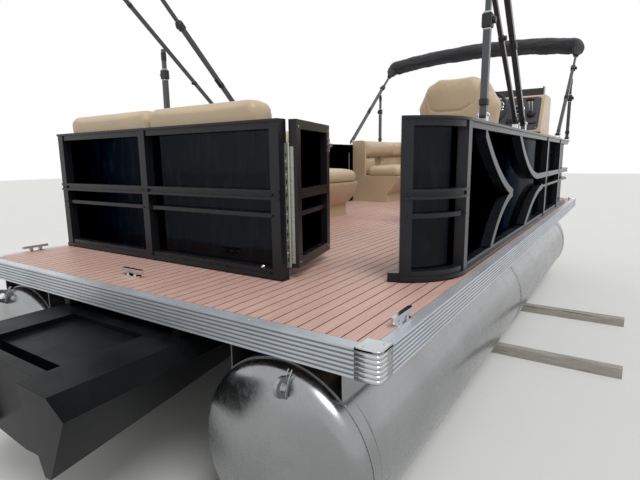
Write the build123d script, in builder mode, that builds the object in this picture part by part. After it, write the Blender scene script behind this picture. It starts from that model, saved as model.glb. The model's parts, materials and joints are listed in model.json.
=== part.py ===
"""Pontoon boat on two ground timbers: twin tubes, planked deck, fence, lounges, helm and two folded tops."""
from build123d import *
import os
from math import asin, atan2, ceil, cos, degrees, hypot, radians, sin, sqrt

os.makedirs("parts", exist_ok=True)

# All lengths are millimetres. X is starboard, Y is forward, Z is up.
# Ground timbers
timber_height = 65.0
timber_width = 70.0
timber_length = 3710.0
timber_places = (2300.0, 3400.0)

# Pontoon tubes
tube_radius = 345.0
tube_inset = 380.0
tube_stern = 44.0
dome_depth = 120.0
dome_knuckle = 70.0
dome_steps = 5
nose_length = 640.0
nose_setback = 90.0
nose_sides = 32

# Tow eyes on the stern domes
eye_side = 68.0
eye_rise = 308.0
eye_reach = 92.0
eye_radius = 34.0
eye_hole = 16.0
eye_plate = 12.0

# Risers between the tubes and the cross members
riser_height = 27.0
riser_half_width = 230.0
riser_plate = 5.0
riser_flange = 45.0
riser_bow_gap = 760.0
seat_gap = 0.3

# Deck structure
deck_length = 5620.0
deck_width = 2500.0
cross_height = 73.0
cross_width = 40.0
cross_wall = 4.0
cross_pitch = 405.0
cross_first = 90.0
board_thickness = 19.0
plank_thickness = 8.0
plank_pitch = 54.9
plank_seam = 4.0

# Edge trim around the deck
trim_height = 97.0
trim_web = 6.0
trim_flange = 44.0
rib_count = 7
rib_depth = 3.0
rib_land = 8.0
cap_length = 82.0
cap_radius = 42.0
cap_proud = 2.0

# Cleats
cleat_length = 150.0
cleat_foot = 105.0
cleat_base = 34.0
cleat_base_height = 6.0
cleat_leg = 18.0
cleat_leg_height = 16.0
cleat_horn = 14.0
cleat_edge = 51.0
cleat_end = 265.0
stern_cleat = (-122.0, 186.0)

# Motor pod between the tubes
pod_drop = 40.0
pod_overhang = 500.0
pod_rake = 50.0
pod_length = 1500.0
pod_half_top = 430.0
pod_half_chine = 500.0
pod_chine_drop = 60.0
pod_half_keel = 290.0
pod_depth = 360.0
pod_vee = 30.0
pod_nose_depth = 150.0
pod_nose_taper = 60.0
notch_depth = 50.0
well_half_width = 250.0
transom_thickness = 45.0
slot_length = 70.0
slot_depth = 150.0
well_depth = 24.0
well_bow_gap = 60.0
hanger_width = 45.0
motor_bolt_spacing = 327.0
motor_bolt_radius = 6.5
motor_bolt_drop = 50.0

# Fence
fence_height = 700.0
fence_foot = 8.0
fence_depth = 50.0
fence_setback = 85.0
fence_stern = 490.0
fence_bow_setback = 430.0
fence_radius = 290.0
skin_thickness = 3.0
post_width = 50.0
rail_step = 24.0
rail_lip = 12.0
rail_proud = 6.0
bottom_rail_height = 40.0
top_rail_height = 40.0
thin_rail = 277.0
thin_rail_height = 20.0
mid_rail = 358.0
mid_rail_height = 42.0
sweep_width = 42.0
corner_sweep = 68.0
corner_start = 1000.0
aft_panel_end = 545.0
aft_mid_post = -370.0
pad_length = 60.0
pad_pitch = 620.0
foot_block = 52.0
foot_block_height = 42.0

# Gates
gate_foot = 50.0
gate_rail = 45.0
gate_depth = 34.0
gate_rest = 79.0
latch_gap = 14.0
hinge_side = 6.0
gate_start = 8.0
port_gate_aft = 3330.0
port_gate_length = 655.0
bow_gate_half = 310.0
hinge_radius = 6.0
hinge_pin = 3.0
hinge_play = 0.05
hinge_leaf = 2.7
hinge_leaf_width = 21.0
hinge_low = 55.0
hinge_high = 600.0
hinge_lug = 14.0
hinge_lug_gap = 1.0

# Seats
seat_height = 430.0
cushion_thickness = 110.0
seat_round = 40.0
back_height = 805.0
back_thickness = 170.0
lower_back = 120.0
bolster_height = 200.0
toe_recess = 145.0
toe_height = 110.0
lid_gap = 6.0
box_wall = 25.0
box_floor = 35.0
stern_seat_depth = 1015.0
stern_seat_end = 60.0
stern_back_end = 375.0
bench_depth = 810.0
bench_end = 2770.0
sofa_depth = 626.0
sofa_start = 4085.0
sofa_back = 750.0
sofa_panel = 40.0
sofa_return = 520.0

# Helm
console_start = 3230.0
console_depth = 470.0
console_width = 620.0
console_height = 1050.0
console_knee = 650.0
console_toe = 60.0
console_wall = 20.0
dash_low = 735.0
dash_run = 150.0
screen_height = 90.0
screen_thickness = 8.0
wheel_radius = 180.0
wheel_rim = 14.0
wheel_reach = 110.0
hub_radius = 42.0
spoke_width = 26.0
column_radius = 26.0
chair_inboard = 447.0
chair_y = 2560.0
chair_base_radius = 150.0
chair_base_height = 12.0
chair_post_radius = 38.0
chair_seat_height = 520.0
chair_seat_thickness = 130.0
chair_seat_depth = 500.0
chair_width = 560.0
chair_top = 1110.0
chair_back_thickness = 130.0
chair_back_aft = 250.0

# Folding tops
top_pivot_height = 745.0
top_aft_pivot = 2300.0
top_fore_setback = 1510.0
top_aft_angle = 43.7
top_fore_angle = 40.5
top_arm_length = 1600.0
top_tube = 30.0
top_inner_tube = 22.0
top_sleeve = 1180.0
top_stay_foot = 2055.0
top_stay_angle = 39.4
top_stay_length = 1400.0
collar_length = 60.0
collar_proud = 12.0
top_roll_radius = 95.0
top_roll_sides = 14
top_crown = 110.0
post_aft = 1290.0
post_fore_setback = 710.0
post_tube = 32.0
post_inner_tube = 24.0
post_sleeve = 400.0
post_clear = 6.0
prop_pivot_height = 32.0
pin_radius = 5.0
pin_play = 0.05
fork_wall = 4.0
fork_play = 1.0
fork_length = 34.0
fork_floor = 8.0

# Places worked out from the sizes above
stern = -(deck_length - pod_overhang) / 2
bow = stern + deck_length
tube_x = deck_width / 2 - tube_inset
tube_axis = timber_height + tube_radius
tube_top = timber_height + 2 * tube_radius
cross_bottom = tube_top + riser_height
board_bottom = cross_bottom + cross_height
plank_bottom = board_bottom + board_thickness
deck = plank_bottom + plank_thickness
inner_half = deck_width / 2 - trim_web
trim_bottom = deck - trim_height
fence_x = deck_width / 2 - fence_setback
fence_bow = deck_length - fence_bow_setback
fence_top = deck + fence_height
fence_base = deck + fence_foot
fence_face = fence_x - fence_depth / 2 - skin_thickness
port_gate_fore = port_gate_aft + port_gate_length
sofa_end = fence_bow - fence_depth / 2 - skin_thickness - 1
base_top = deck + seat_height - cushion_thickness
chair_x = fence_face - chair_inboard
top_x = fence_x
top_fore_pivot = deck_length - top_fore_setback
post_fore = deck_length - post_fore_setback


def aft(distance):
    """Row position of a place measured forward from the stern edge."""
    return stern + distance


def save(node, name):
    """Label a finished piece and write it."""
    node.label = name
    export_step(node, "parts/" + name + ".step")


# Ground timbers
with BuildPart() as timbers:
    for place in timber_places:
        with BuildSketch(Plane.XY):
            with Locations((0, aft(place))):
                Rectangle(timber_length, timber_width)
        extrude(amount=timber_height)
save(timbers.part, "timbers")


# Pontoon tubes
def tube_body(side, growth):
    """Tube with a pressed stern end; growth is added to its radius all round."""
    nose_start = bow - nose_setback - nose_length
    reach = tube_radius - dome_knuckle
    crown = (reach**2 + dome_depth**2 - dome_knuckle**2) / (2 * (dome_depth - dome_knuckle))
    turn = degrees(atan2(crown - dome_depth, reach))
    with BuildPart() as tube:
        with BuildSketch(Plane.YZ.offset(side * tube_x)):
            with BuildLine():
                start = (aft(tube_stern), tube_axis + tube_radius + growth)
                tip = (aft(tube_stern) - dome_depth - growth, tube_axis)
                with BuildLine(mode=Mode.PRIVATE) as pressed:
                    knuckle = JernArc(start, (-1, 0), dome_knuckle + growth, turn)
                    crowned = TangentArc(knuckle @ 1, tip, tangent=knuckle % 1)
                rounds = [knuckle @ (step / dome_steps) for step in range(dome_steps + 1)]
                flats = [crowned @ (step / dome_steps) for step in range(1, dome_steps + 1)]
                Polyline(*rounds, *flats)
                axis_end = Line(tip, (nose_start, tube_axis))
                rim = Line(axis_end @ 1, (nose_start, tube_axis + tube_radius + growth))
                Line(rim @ 1, start)
            make_face()
        revolve(axis=Axis((side * tube_x, 0, tube_axis), (0, 1, 0)), revolution_arc=360)
    return tube.part


def tube_nose(side):
    """Nose that rises to the tube's top line in ruled steps."""
    # share of the nose length, share of the tube radius
    nose_sections = ((0.0, 1.0), (0.35, 0.93), (0.7, 0.66), (0.93, 0.33), (1.0, 0.16))
    with BuildPart() as nose:
        for share, size in nose_sections:
            radius = tube_radius * size
            with BuildSketch(Plane.XZ.offset(-(bow - nose_setback - nose_length * (1 - share)))):
                with Locations((side * tube_x, tube_top - radius)):
                    RegularPolygon(radius, nose_sides)
        loft(ruled=True)
    return nose.part


def joined(*pieces):
    """One node from several pieces."""
    with BuildPart() as whole:
        for piece in pieces:
            add(piece)
    return whole.part


for side, name in ((-1, "pontoon_port"), (1, "pontoon_starboard")):
    save(joined(tube_body(side, 0), tube_nose(side)), name)

# Tow eyes: upright plates welded to the stern domes
with BuildPart() as tow_eyes:
    for side in (-1, 1):
        eye_y = aft(tube_stern) - eye_reach
        eye_z = tube_axis + eye_rise
        with BuildSketch(Plane.YZ.offset(side * (tube_x + eye_side) - eye_plate / 2)):
            with Locations((eye_y, eye_z)):
                Circle(eye_radius)
            with BuildLine():
                Polyline(
                    (eye_y, eye_z + eye_radius),
                    (eye_y + 1.5 * eye_radius, eye_z + eye_radius * 0.6),
                    (eye_y + 1.5 * eye_radius, eye_z - 2 * eye_radius),
                    (eye_y - eye_radius * 0.7, eye_z - eye_radius * 0.7),
                    close=True,
                )
            make_face()
            with Locations((eye_y, eye_z)):
                Circle(eye_hole, mode=Mode.SUBTRACT)
        extrude(amount=eye_plate)
    for side in (-1, 1):
        add(tube_body(side, seat_gap), mode=Mode.SUBTRACT)
save(tow_eyes.part, "tow_eyes")

# Risers: two plates, a saddle over the tube and top flanges, on each side
riser_start = aft(tube_stern)
riser_length = bow - riser_bow_gap - riser_start
with BuildPart() as risers:
    for side in (-1, 1):
        centre = side * tube_x
        saddle_inner = tube_radius + seat_gap
        with BuildSketch(Plane.XZ.offset(-riser_start)):
            with BuildLine():
                half = degrees(asin((riser_half_width + riser_plate) / saddle_inner))
                under = CenterArc((centre, tube_axis), saddle_inner, 90 - half, 2 * half)
                over = CenterArc((centre, tube_axis), saddle_inner + riser_plate, 90 - half, 2 * half)
                Line(under @ 0, over @ 0)
                Line(under @ 1, over @ 1)
            make_face()
            for edge in (-1, 1):
                plate_x = centre + edge * (riser_half_width + riser_plate / 2)
                plate_foot = tube_axis + sqrt(saddle_inner**2 - riser_half_width**2) + riser_plate / 2
                with Locations((plate_x, (plate_foot + cross_bottom) / 2)):
                    Rectangle(riser_plate, cross_bottom - plate_foot)
                with Locations((plate_x - edge * (riser_flange - riser_plate) / 2, cross_bottom - riser_plate / 2)):
                    Rectangle(riser_flange, riser_plate)
        extrude(amount=-riser_length)
save(risers.part, "risers")

# Cross members
cross_count = int((deck_length - 2 * cross_first) / cross_pitch) + 1
with BuildPart() as cross_members:
    for number in range(cross_count):
        centre = aft(cross_first + number * cross_pitch)
        with BuildSketch(Plane.YZ.offset(-inner_half)):
            with Locations((centre, cross_bottom + cross_height / 2)):
                Rectangle(cross_width, cross_height)
            with Locations((centre + cross_wall, cross_bottom + cross_height / 2)):
                Rectangle(cross_width, cross_height - 2 * cross_wall, mode=Mode.SUBTRACT)
        extrude(amount=2 * inner_half)
save(cross_members.part, "cross_members")

# Deck board
board_length = deck_length - 2 * trim_web
with BuildPart() as deck_board:
    with BuildSketch(Plane.XY.offset(board_bottom)):
        with Locations((0, aft(deck_length / 2))):
            Rectangle(2 * inner_half, board_length)
    extrude(amount=board_thickness)
save(deck_board.part, "deck_board")

# Deck planks, laid fore and aft with dark seams between them
plank_field = deck_width / 2 - trim_flange - 1
plank_run = deck_length - 2 * trim_flange - 2
plank_count = int(2 * plank_field / plank_pitch) + 1
with BuildPart() as deck_planks:
    with BuildSketch(Plane.XY.offset(plank_bottom)):
        for number in range(plank_count):
            centre = (number - (plank_count - 1) / 2) * plank_pitch
            low = max(centre - (plank_pitch - plank_seam) / 2, -plank_field)
            high = min(centre + (plank_pitch - plank_seam) / 2, plank_field)
            if high - low > plank_seam:
                with Locations(((low + high) / 2, aft(deck_length / 2))):
                    Rectangle(high - low, plank_run)
        with Locations((0, aft(deck_length / 2))):
            with GridLocations(deck_width, deck_length, 2, 2):
                Rectangle(2 * cap_length + 2, 2 * cap_length + 2, mode=Mode.SUBTRACT)
    extrude(amount=plank_thickness)
save(deck_planks.part, "deck_planks")


# Edge trim: a ribbed web with a top flange
rib_pitch = (trim_height - rib_land - 0.5) / (rib_count - 1)


def trim_points():
    """Section of the edge trim: outer face at zero, flange towards positive x, top at zero."""
    points = [(trim_flange, 0), (0, 0)]
    for number in range(rib_count):
        top = -number * rib_pitch
        low = top - rib_land
        points.append((0, low))
        if number < rib_count - 1:
            points.append((rib_depth, low - rib_depth / 2))
            points.append((rib_depth, top - rib_pitch + rib_depth / 2))
            points.append((0, top - rib_pitch))
    points.append((0, -trim_height))
    points.append((trim_web, -trim_height))
    points.append((trim_web, -plank_thickness))
    points.append((trim_flange, -plank_thickness))
    return points


trim_planes = (
    # start x, start y, direction of the section's flange, direction of the run, length
    (-deck_width / 2 + cap_length, stern, (0, 1, 0), (1, 0, 0), deck_width - 2 * cap_length),
    (-deck_width / 2 + cap_length, bow, (0, -1, 0), (1, 0, 0), deck_width - 2 * cap_length),
    (-deck_width / 2, stern + cap_length, (1, 0, 0), (0, 1, 0), deck_length - 2 * cap_length),
    (deck_width / 2, stern + cap_length, (-1, 0, 0), (0, 1, 0), deck_length - 2 * cap_length),
)
with BuildPart() as edge_trim:
    for start_x, start_y, inward, run, length in trim_planes:
        normal = Vector(*inward).cross(Vector(0, 0, 1))
        forward = 1 if normal.dot(Vector(*run)) > 0 else -1
        with BuildSketch(Plane((start_x, start_y, deck), x_dir=inward, z_dir=normal)):
            with BuildLine():
                Polyline(*trim_points(), close=True)
            make_face()
        extrude(amount=forward * length)
save(edge_trim.part, "edge_trim")

# Corner caps: polished ribbed quarter rounds
with BuildPart() as corner_caps:
    for side in (-1, 1):
        for end in (-1, 1):
            corner = (side * (deck_width / 2), stern if end < 0 else bow)
            centre = (corner[0] - side * cap_length / 2, corner[1] - end * cap_length / 2)
            layers = [(trim_bottom - cap_proud, trim_height + 2 * cap_proud, 0.0)]
            for number in range(rib_count):
                layers.append((deck - rib_land - number * rib_pitch, rib_land, cap_proud))
            for bottom, height, proud in layers:
                with BuildSketch(Plane.XY.offset(bottom)) as outline:
                    with Locations((centre[0] + side * proud / 2, centre[1] + end * proud / 2)):
                        Rectangle(cap_length + proud, cap_length + proud)
                    outer = outline.vertices().sort_by(lambda v: side * v.X + end * v.Y)[-1]
                    fillet(outer, cap_radius + proud)
                extrude(amount=height)
            inner = cap_length - trim_web
            with BuildSketch(Plane.XY.offset(trim_bottom - cap_proud)):
                with Locations((corner[0] - side * (trim_web + inner / 2), corner[1] - end * (trim_web + inner / 2))):
                    Rectangle(inner, inner)
            extrude(amount=trim_height + cap_proud - plank_thickness, mode=Mode.SUBTRACT)
save(corner_caps.part, "corner_caps")

# Motor pod: a black wedge with two arms, a raked transom, a cable slot and a shallow well
pod_top = cross_bottom - pod_drop
pod_stern = stern - pod_overhang
pod_sections = (
    # distance from the pod's stern, depth under its top, half width at the chine
    (0.0, pod_depth, pod_half_chine),
    (pod_length, pod_nose_depth, pod_half_chine - pod_nose_taper),
)
transom_aft = pod_stern + notch_depth
transom_fore = transom_aft + transom_thickness
well_aft = transom_fore + slot_length
well_length = stern - well_bow_gap + well_depth - well_aft
with BuildPart() as motor_pod:
    for distance, depth, half_chine in pod_sections:
        with BuildSketch(Plane.XZ.offset(-(pod_stern + distance))):
            with BuildLine():
                Polyline(
                    (-pod_half_top, pod_top),
                    (pod_half_top, pod_top),
                    (half_chine, pod_top - pod_chine_drop),
                    (pod_half_keel, pod_top - depth),
                    (0, pod_top - depth - pod_vee),
                    (-pod_half_keel, pod_top - depth),
                    (-half_chine, pod_top - pod_chine_drop),
                    close=True,
                )
            make_face()
    loft(ruled=True)
    # raked stern faces: the arms end on the line through the pod's upper aft edge
    low = pod_top - pod_depth - 2 * pod_vee
    rake_run = pod_rake * (pod_top - low) / pod_depth
    for start, half_width in ((pod_stern, 2 * pod_half_chine), (transom_aft, well_half_width)):
        with BuildSketch(Plane.YZ.offset(-half_width)):
            with BuildLine():
                Polyline(
                    (pod_stern - pod_rake, pod_top),
                    (start, pod_top),
                    (start + rake_run, low),
                    (pod_stern - pod_rake, low),
                    close=True,
                )
            make_face()
        extrude(amount=2 * half_width, mode=Mode.SUBTRACT)
    # slot ahead of the transom, then the shallow well
    for start, length, depth in ((transom_fore, slot_length, slot_depth), (well_aft, well_length, well_depth)):
        with BuildSketch(Plane.XY.offset(pod_top)):
            with Locations((0, start + length / 2)):
                Rectangle(2 * well_half_width, length)
        extrude(amount=-depth, mode=Mode.SUBTRACT)
    # clamp bolt holes square to the raked transom
    rake = atan2(pod_rake, pod_depth)
    bolt_y = transom_aft + motor_bolt_drop * sin(rake) / cos(rake)
    transom_plane = Plane((0, bolt_y, pod_top - motor_bolt_drop), x_dir=(1, 0, 0), z_dir=(0, -cos(rake), -sin(rake)))
    with BuildSketch(transom_plane):
        with GridLocations(motor_bolt_spacing, 1, 2, 1):
            Circle(motor_bolt_radius)
    extrude(amount=-2 * transom_thickness, mode=Mode.SUBTRACT)
    # hangers up to the cross members
    hanger_length = pod_stern + pod_length - stern - trim_web - seat_gap
    with BuildSketch(Plane.XY.offset(pod_top)):
        for side in (-1, 1):
            with Locations((side * (pod_half_top - hanger_width), stern + trim_web + seat_gap + hanger_length / 2)):
                Rectangle(hanger_width, hanger_length)
    extrude(amount=pod_drop - seat_gap)
save(motor_pod.part, "motor_pod")

# Cleats: two legs and a horn bar on a base, at the corners and one on the stern deck
cleat_x = deck_width / 2 - cleat_edge
cleat_places = [(side * cleat_x, place, 90) for side in (-1, 1) for place in (cleat_end, deck_length - cleat_end)]
cleat_places.append((*stern_cleat, 0))
with BuildPart() as cleats:
    for x, place, turn in cleat_places:
        spot = Location((x, aft(place)), turn)
        leg_top = deck + cleat_base_height + cleat_leg_height
        with BuildSketch(Plane.XY.offset(deck)):
            with Locations(spot):
                SlotOverall(cleat_foot, cleat_base)
        extrude(amount=cleat_base_height)
        with BuildSketch(Plane.XY.offset(deck + cleat_base_height)):
            with Locations(spot):
                with GridLocations(cleat_foot / 2, 1, 2, 1):
                    Rectangle(cleat_leg, cleat_leg)
        extrude(amount=cleat_leg_height)
        with BuildSketch(Plane.XY.offset(leg_top)):
            with Locations(spot):
                SlotOverall(cleat_length, cleat_leg)
        extrude(amount=cleat_horn)
save(cleats.part, "cleats")


# Fence rails: height above the deck, rail height, stand out past the posts
bottom_rows = (
    (fence_foot, bottom_rail_height - rail_step, rail_proud),
    (fence_foot + bottom_rail_height - rail_step, rail_step, -rail_proud),
)
thin_rows = ((thin_rail, thin_rail_height, -2 * rail_proud),)
mid_rows = (
    (mid_rail, rail_lip, rail_proud),
    (mid_rail + rail_lip, mid_rail_height - 2 * rail_lip, -rail_proud),
    (mid_rail + mid_rail_height - rail_lip, rail_lip, rail_proud),
)
top_rows = (
    (fence_height - top_rail_height, top_rail_height - rail_lip, -rail_proud),
    (fence_height - rail_lip, rail_lip, rail_proud),
)
end_rows = bottom_rows + top_rows
all_rows = bottom_rows + thin_rows + mid_rows + top_rows


def aft_line(inset):
    """Aft fence, from the port corner to the gate."""
    outer = fence_x + fence_depth / 2 if inset < fence_depth / 2 else fence_face
    Line((-outer, aft(fence_stern) + inset), (aft_panel_end, aft(fence_stern) + inset))


def starboard_line(inset):
    """Rounded aft corner and the starboard side."""
    arc = CenterArc((fence_x - fence_radius, aft(corner_start)), fence_radius - inset, -corner_sweep, corner_sweep)
    Line(arc @ 1, (fence_x - inset, aft(fence_bow - fence_radius)))


def port_aft_line(inset):
    """Port side, up to the side gate."""
    start = aft(fence_stern) + fence_depth / 2
    Line((-fence_x + inset, start), (-fence_x + inset, aft(port_gate_aft)))


def port_fore_line(inset):
    """Port side, ahead of the side gate."""
    Line((-fence_x + inset, aft(port_gate_fore)), (-fence_x + inset, aft(fence_bow - fence_radius)))


def corner_arc(inset):
    """Rounded starboard aft corner alone."""
    CenterArc((fence_x - fence_radius, aft(corner_start)), fence_radius - inset, -corner_sweep, corner_sweep)


def bow_line(side, inset):
    """Rounded bow corner up to the bow gate."""
    line_y = aft(fence_bow) - inset
    FilletPolyline(
        (side * bow_gate_half, line_y),
        (side * (fence_x - inset), line_y),
        (side * (fence_x - inset), aft(fence_bow - fence_radius)),
        radius=fence_radius - inset - 0.01,
    )


def bow_port_line(inset):
    """Rounded bow corner to port."""
    bow_line(-1, inset)


def bow_starboard_line(inset):
    """Rounded bow corner to starboard."""
    bow_line(1, inset)


def rails(draw, rows):
    """Stepped rails that follow one plan line; their inner faces lie on the sheet."""
    with BuildPart() as run:
        for bottom, height, proud in rows:
            with BuildSketch(Plane.XY.offset(deck + bottom)):
                with BuildLine():
                    draw(-proud / 2)
                trace(line_width=fence_depth + proud)
            extrude(amount=height)
    return run.part


def posts(places):
    """Uprights on foot pads; each place is x, y and the turn of the post's width from X."""
    with BuildPart() as uprights:
        for bottom, height, width in ((fence_base, fence_height - fence_foot, post_width), (deck, fence_foot, pad_length)):
            with BuildSketch(Plane.XY.offset(bottom)):
                for x, y, turn in places:
                    with Locations(Location((x, y), turn)):
                        Rectangle(width, fence_depth)
            extrude(amount=height)
    return uprights.part


def pads(start, end):
    """Spacer pads under a straight fence run between two points in plan."""
    run = hypot(end[0] - start[0], end[1] - start[1])
    count = max(1, ceil(run / pad_pitch) - 1)
    turn = degrees(atan2(end[1] - start[1], end[0] - start[0]))
    with BuildPart() as spacers:
        with BuildSketch(Plane.XY.offset(deck)):
            with Locations(Location(((start[0] + end[0]) / 2, (start[1] + end[1]) / 2), turn)):
                with GridLocations(run / (count + 1), 1, count, 1):
                    Rectangle(pad_length, fence_depth)
        extrude(amount=fence_foot)
    return spacers.part


def skin(draw):
    """Glossy sheet behind the rails."""
    with BuildPart() as sheet:
        with BuildSketch(Plane.XY.offset(fence_base)):
            with BuildLine():
                draw(fence_depth / 2 + skin_thickness / 2)
            trace(line_width=skin_thickness)
        extrude(amount=fence_height - fence_foot)
    return sheet.part


# Swept trims of the side fence, in side view
sweep_start = 1225.0
sweep_curves = (
    # start, middle and end of each arc: distance from the stern, height above the deck
    ((sweep_start, 670.0), (1475.0, 500.0), (1960.0, 312.0)),
    ((1960.0, 312.0), (1675.0, 213.0), (1465.0, 40.0)),
    ((2100.0, 670.0), (2370.0, 505.0), (2860.0, 379.0)),
    ((2430.0, 40.0), (2750.0, 205.0), (3150.0, 287.0)),
)
sweep_rails = (
    # start, height above the deck, rail height
    (2850.0, mid_rail, mid_rail_height),
    (3130.0, thin_rail, thin_rail_height),
)


def side_sweeps(side, last):
    """Curved trims and the rails that they run into, on one side."""
    with BuildPart() as sweeps:
        outer = fence_depth / 2 + rail_proud / 2
        with BuildSketch(Plane.YZ.offset(side * fence_x - (outer if side < 0 else fence_depth / 2))):
            for start, middle, end in sweep_curves:
                with BuildLine():
                    ThreePointArc(*((aft(y), deck + z) for y, z in (start, middle, end)))
                trace(line_width=sweep_width)
            for start, bottom, height in sweep_rails:
                run = last - start
                with Locations((aft(start + run / 2), deck + bottom + height / 2)):
                    Rectangle(run, height)
            with Locations((aft((sweep_start + last) / 2), deck + (fence_foot + fence_height) / 2)):
                inner_height = fence_height - fence_foot - bottom_rail_height - top_rail_height
                Rectangle(last - sweep_start - post_width, inner_height, mode=Mode.INTERSECT)
        extrude(amount=outer + fence_depth / 2)
    return sweeps.part


side_posts = (3350.0, 4200.0)
corner_centre_x = fence_x - fence_radius
straight_end = fence_bow - fence_radius

aft_posts = [(x, aft(fence_stern), 0) for x in (-fence_x, aft_mid_post, aft_panel_end - post_width / 2)]
aft_pads = pads((aft_mid_post, aft(fence_stern)), (aft_panel_end, aft(fence_stern)))
aft_port_pads = pads((-fence_x, aft(fence_stern)), (aft_mid_post, aft(fence_stern)))
save(joined(rails(aft_line, all_rows), posts(aft_posts), aft_pads, aft_port_pads), "fence_frame_aft")
save(skin(aft_line), "fence_skin_aft")

starboard_posts = []
for turn in (corner_sweep - 4.5, 0.0):
    post_x = corner_centre_x + fence_radius * cos(radians(turn))
    post_y = aft(corner_start) - fence_radius * sin(radians(turn))
    starboard_posts.append((post_x, post_y, 90 - turn))
for place in side_posts:
    starboard_posts.append((fence_x, aft(place), 90))
corner_post_x = corner_centre_x + fence_radius * cos(radians(corner_sweep))
corner_post_y = aft(corner_start) - fence_radius * sin(radians(corner_sweep))
with BuildPart() as corner_foot:
    with BuildSketch(Plane.XY.offset(deck)):
        with Locations(Location((corner_post_x, corner_post_y), 90 - corner_sweep)):
            with Locations((-foot_block / 2 + 1, 0)):
                Rectangle(foot_block, fence_depth * 0.8)
    extrude(amount=foot_block_height)
starboard_corner = (rails(starboard_line, end_rows), rails(corner_arc, thin_rows + mid_rows))
starboard_side = (posts(starboard_posts), side_sweeps(1, straight_end), corner_foot.part)
starboard_pads = pads((fence_x, aft(corner_start)), (fence_x, aft(straight_end)))
save(joined(*starboard_corner, *starboard_side, starboard_pads), "fence_frame_starboard")
save(skin(starboard_line), "fence_skin_starboard")

port_posts = []
for place in (port_gate_aft - post_width / 2, port_gate_fore + post_width / 2):
    port_posts.append((-fence_x, aft(place), 90))
port_rails = (rails(port_aft_line, end_rows), rails(port_fore_line, all_rows), side_sweeps(-1, port_gate_aft))
port_pads = (
    pads((-fence_x, aft(fence_stern)), (-fence_x, aft(port_gate_aft))),
    pads((-fence_x, aft(port_gate_fore)), (-fence_x, aft(straight_end))),
)
save(joined(*port_rails, posts(port_posts), *port_pads), "fence_frame_port")
save(joined(skin(port_aft_line), skin(port_fore_line)), "fence_skin_port")

bow_posts = [(side * (bow_gate_half + post_width / 2), aft(fence_bow), 0) for side in (-1, 1)]
bow_pads = [pads((side * bow_gate_half, aft(fence_bow)), (side * corner_centre_x, aft(fence_bow))) for side in (-1, 1)]
bow_rails = (rails(bow_port_line, all_rows), rails(bow_starboard_line, all_rows))
save(joined(*bow_rails, posts(bow_posts), *bow_pads), "fence_frame_bow")
save(joined(skin(bow_port_line), skin(bow_starboard_line)), "fence_skin_bow")


# Gates: a frame, a sheet and a moving hinge leaf on each gate, and a fixed leaf with its pin on the fence
def gate_frame(place, width):
    """Gate frame from its near end; its inboard face carries the sheet."""
    middle = (gate_start + width) / 2
    centre_y = -skin_thickness - gate_depth / 2
    top_half = top_rail_height - rail_lip
    gate_rows = (
        # height above the deck, rail height, depth
        (gate_foot, gate_rail, gate_depth),
        (thin_rail, thin_rail_height, gate_depth - 2 * rail_proud),
        (mid_rail, mid_rail_height, gate_depth),
        (fence_height - top_rail_height, top_half, gate_depth),
        (fence_height - rail_lip, rail_lip, gate_depth),
    )
    with BuildPart() as frame:
        for bottom, height, depth in gate_rows:
            with BuildSketch(Plane.XY.offset(deck + bottom)):
                with Locations(place * Location((middle, centre_y + (gate_depth - depth) / 2))):
                    Rectangle(width - gate_start, depth)
            extrude(amount=height)
        with BuildSketch(Plane.XY.offset(deck + gate_foot)):
            for along in (gate_start + gate_rail / 2, width - gate_rail / 2):
                with Locations(place * Location((along, centre_y))):
                    Rectangle(gate_rail, gate_depth)
        extrude(amount=fence_height - gate_foot)
    return frame.part


def gate_skin(place, width):
    """Sheet on the inboard face of a gate."""
    with BuildPart() as sheet:
        with BuildSketch(Plane.XY.offset(deck + gate_foot)):
            with Locations(place * Location(((gate_start + width) / 2, -skin_thickness / 2))):
                Rectangle(width - gate_start, skin_thickness)
        extrude(amount=fence_height - gate_foot)
    return sheet.part


def moving_leaf(place):
    """Leaf on the gate's end face with its barrel round the pin."""
    barrel_low = hinge_low + hinge_lug + hinge_lug_gap
    with BuildPart() as leaf:
        with BuildSketch(Plane.XY.offset(deck + barrel_low)):
            with Locations(place * Location((gate_start - hinge_leaf / 2, -hinge_leaf_width / 2))):
                Rectangle(hinge_leaf, hinge_leaf_width)
            with Locations(place * Location((gate_start / 2, -hinge_leaf / 2))):
                Rectangle(gate_start, hinge_leaf)
            with Locations(place):
                Circle(hinge_radius)
                Circle(hinge_pin + hinge_play, mode=Mode.SUBTRACT)
        extrude(amount=hinge_high - hinge_low - 2 * (hinge_lug + hinge_lug_gap))
    return leaf.part


aft_hinge = (aft_panel_end + hinge_side, aft(fence_stern) + fence_x - fence_face + hinge_side)
gate_run = Vector(corner_post_x - aft_hinge[0], corner_post_y - aft_hinge[1])
aft_gate_shut = degrees(atan2(gate_run.Y, gate_run.X))
gates = (
    # name, hinge, heading as built, width, heading from the hinge to the fence
    ("aft_gate", aft_hinge, aft_gate_shut + gate_rest, gate_run.length - latch_gap, 180),
    (
        "port_gate",
        (-fence_face + hinge_side, aft(port_gate_fore) - hinge_side),
        -90,
        port_gate_length - hinge_side - latch_gap,
        90,
    ),
    (
        "bow_gate",
        (bow_gate_half - hinge_side, aft(fence_bow) - fence_x + fence_face - hinge_side),
        180,
        2 * bow_gate_half - hinge_side - latch_gap,
        0,
    ),
)
for name, hinge, heading, width, to_fence in gates:
    place = Location((hinge[0], hinge[1]), heading)
    save(gate_frame(place, width), name + "_frame")
    save(gate_skin(place, width), name + "_skin")
    save(moving_leaf(place), name + "_leaf")

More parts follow.
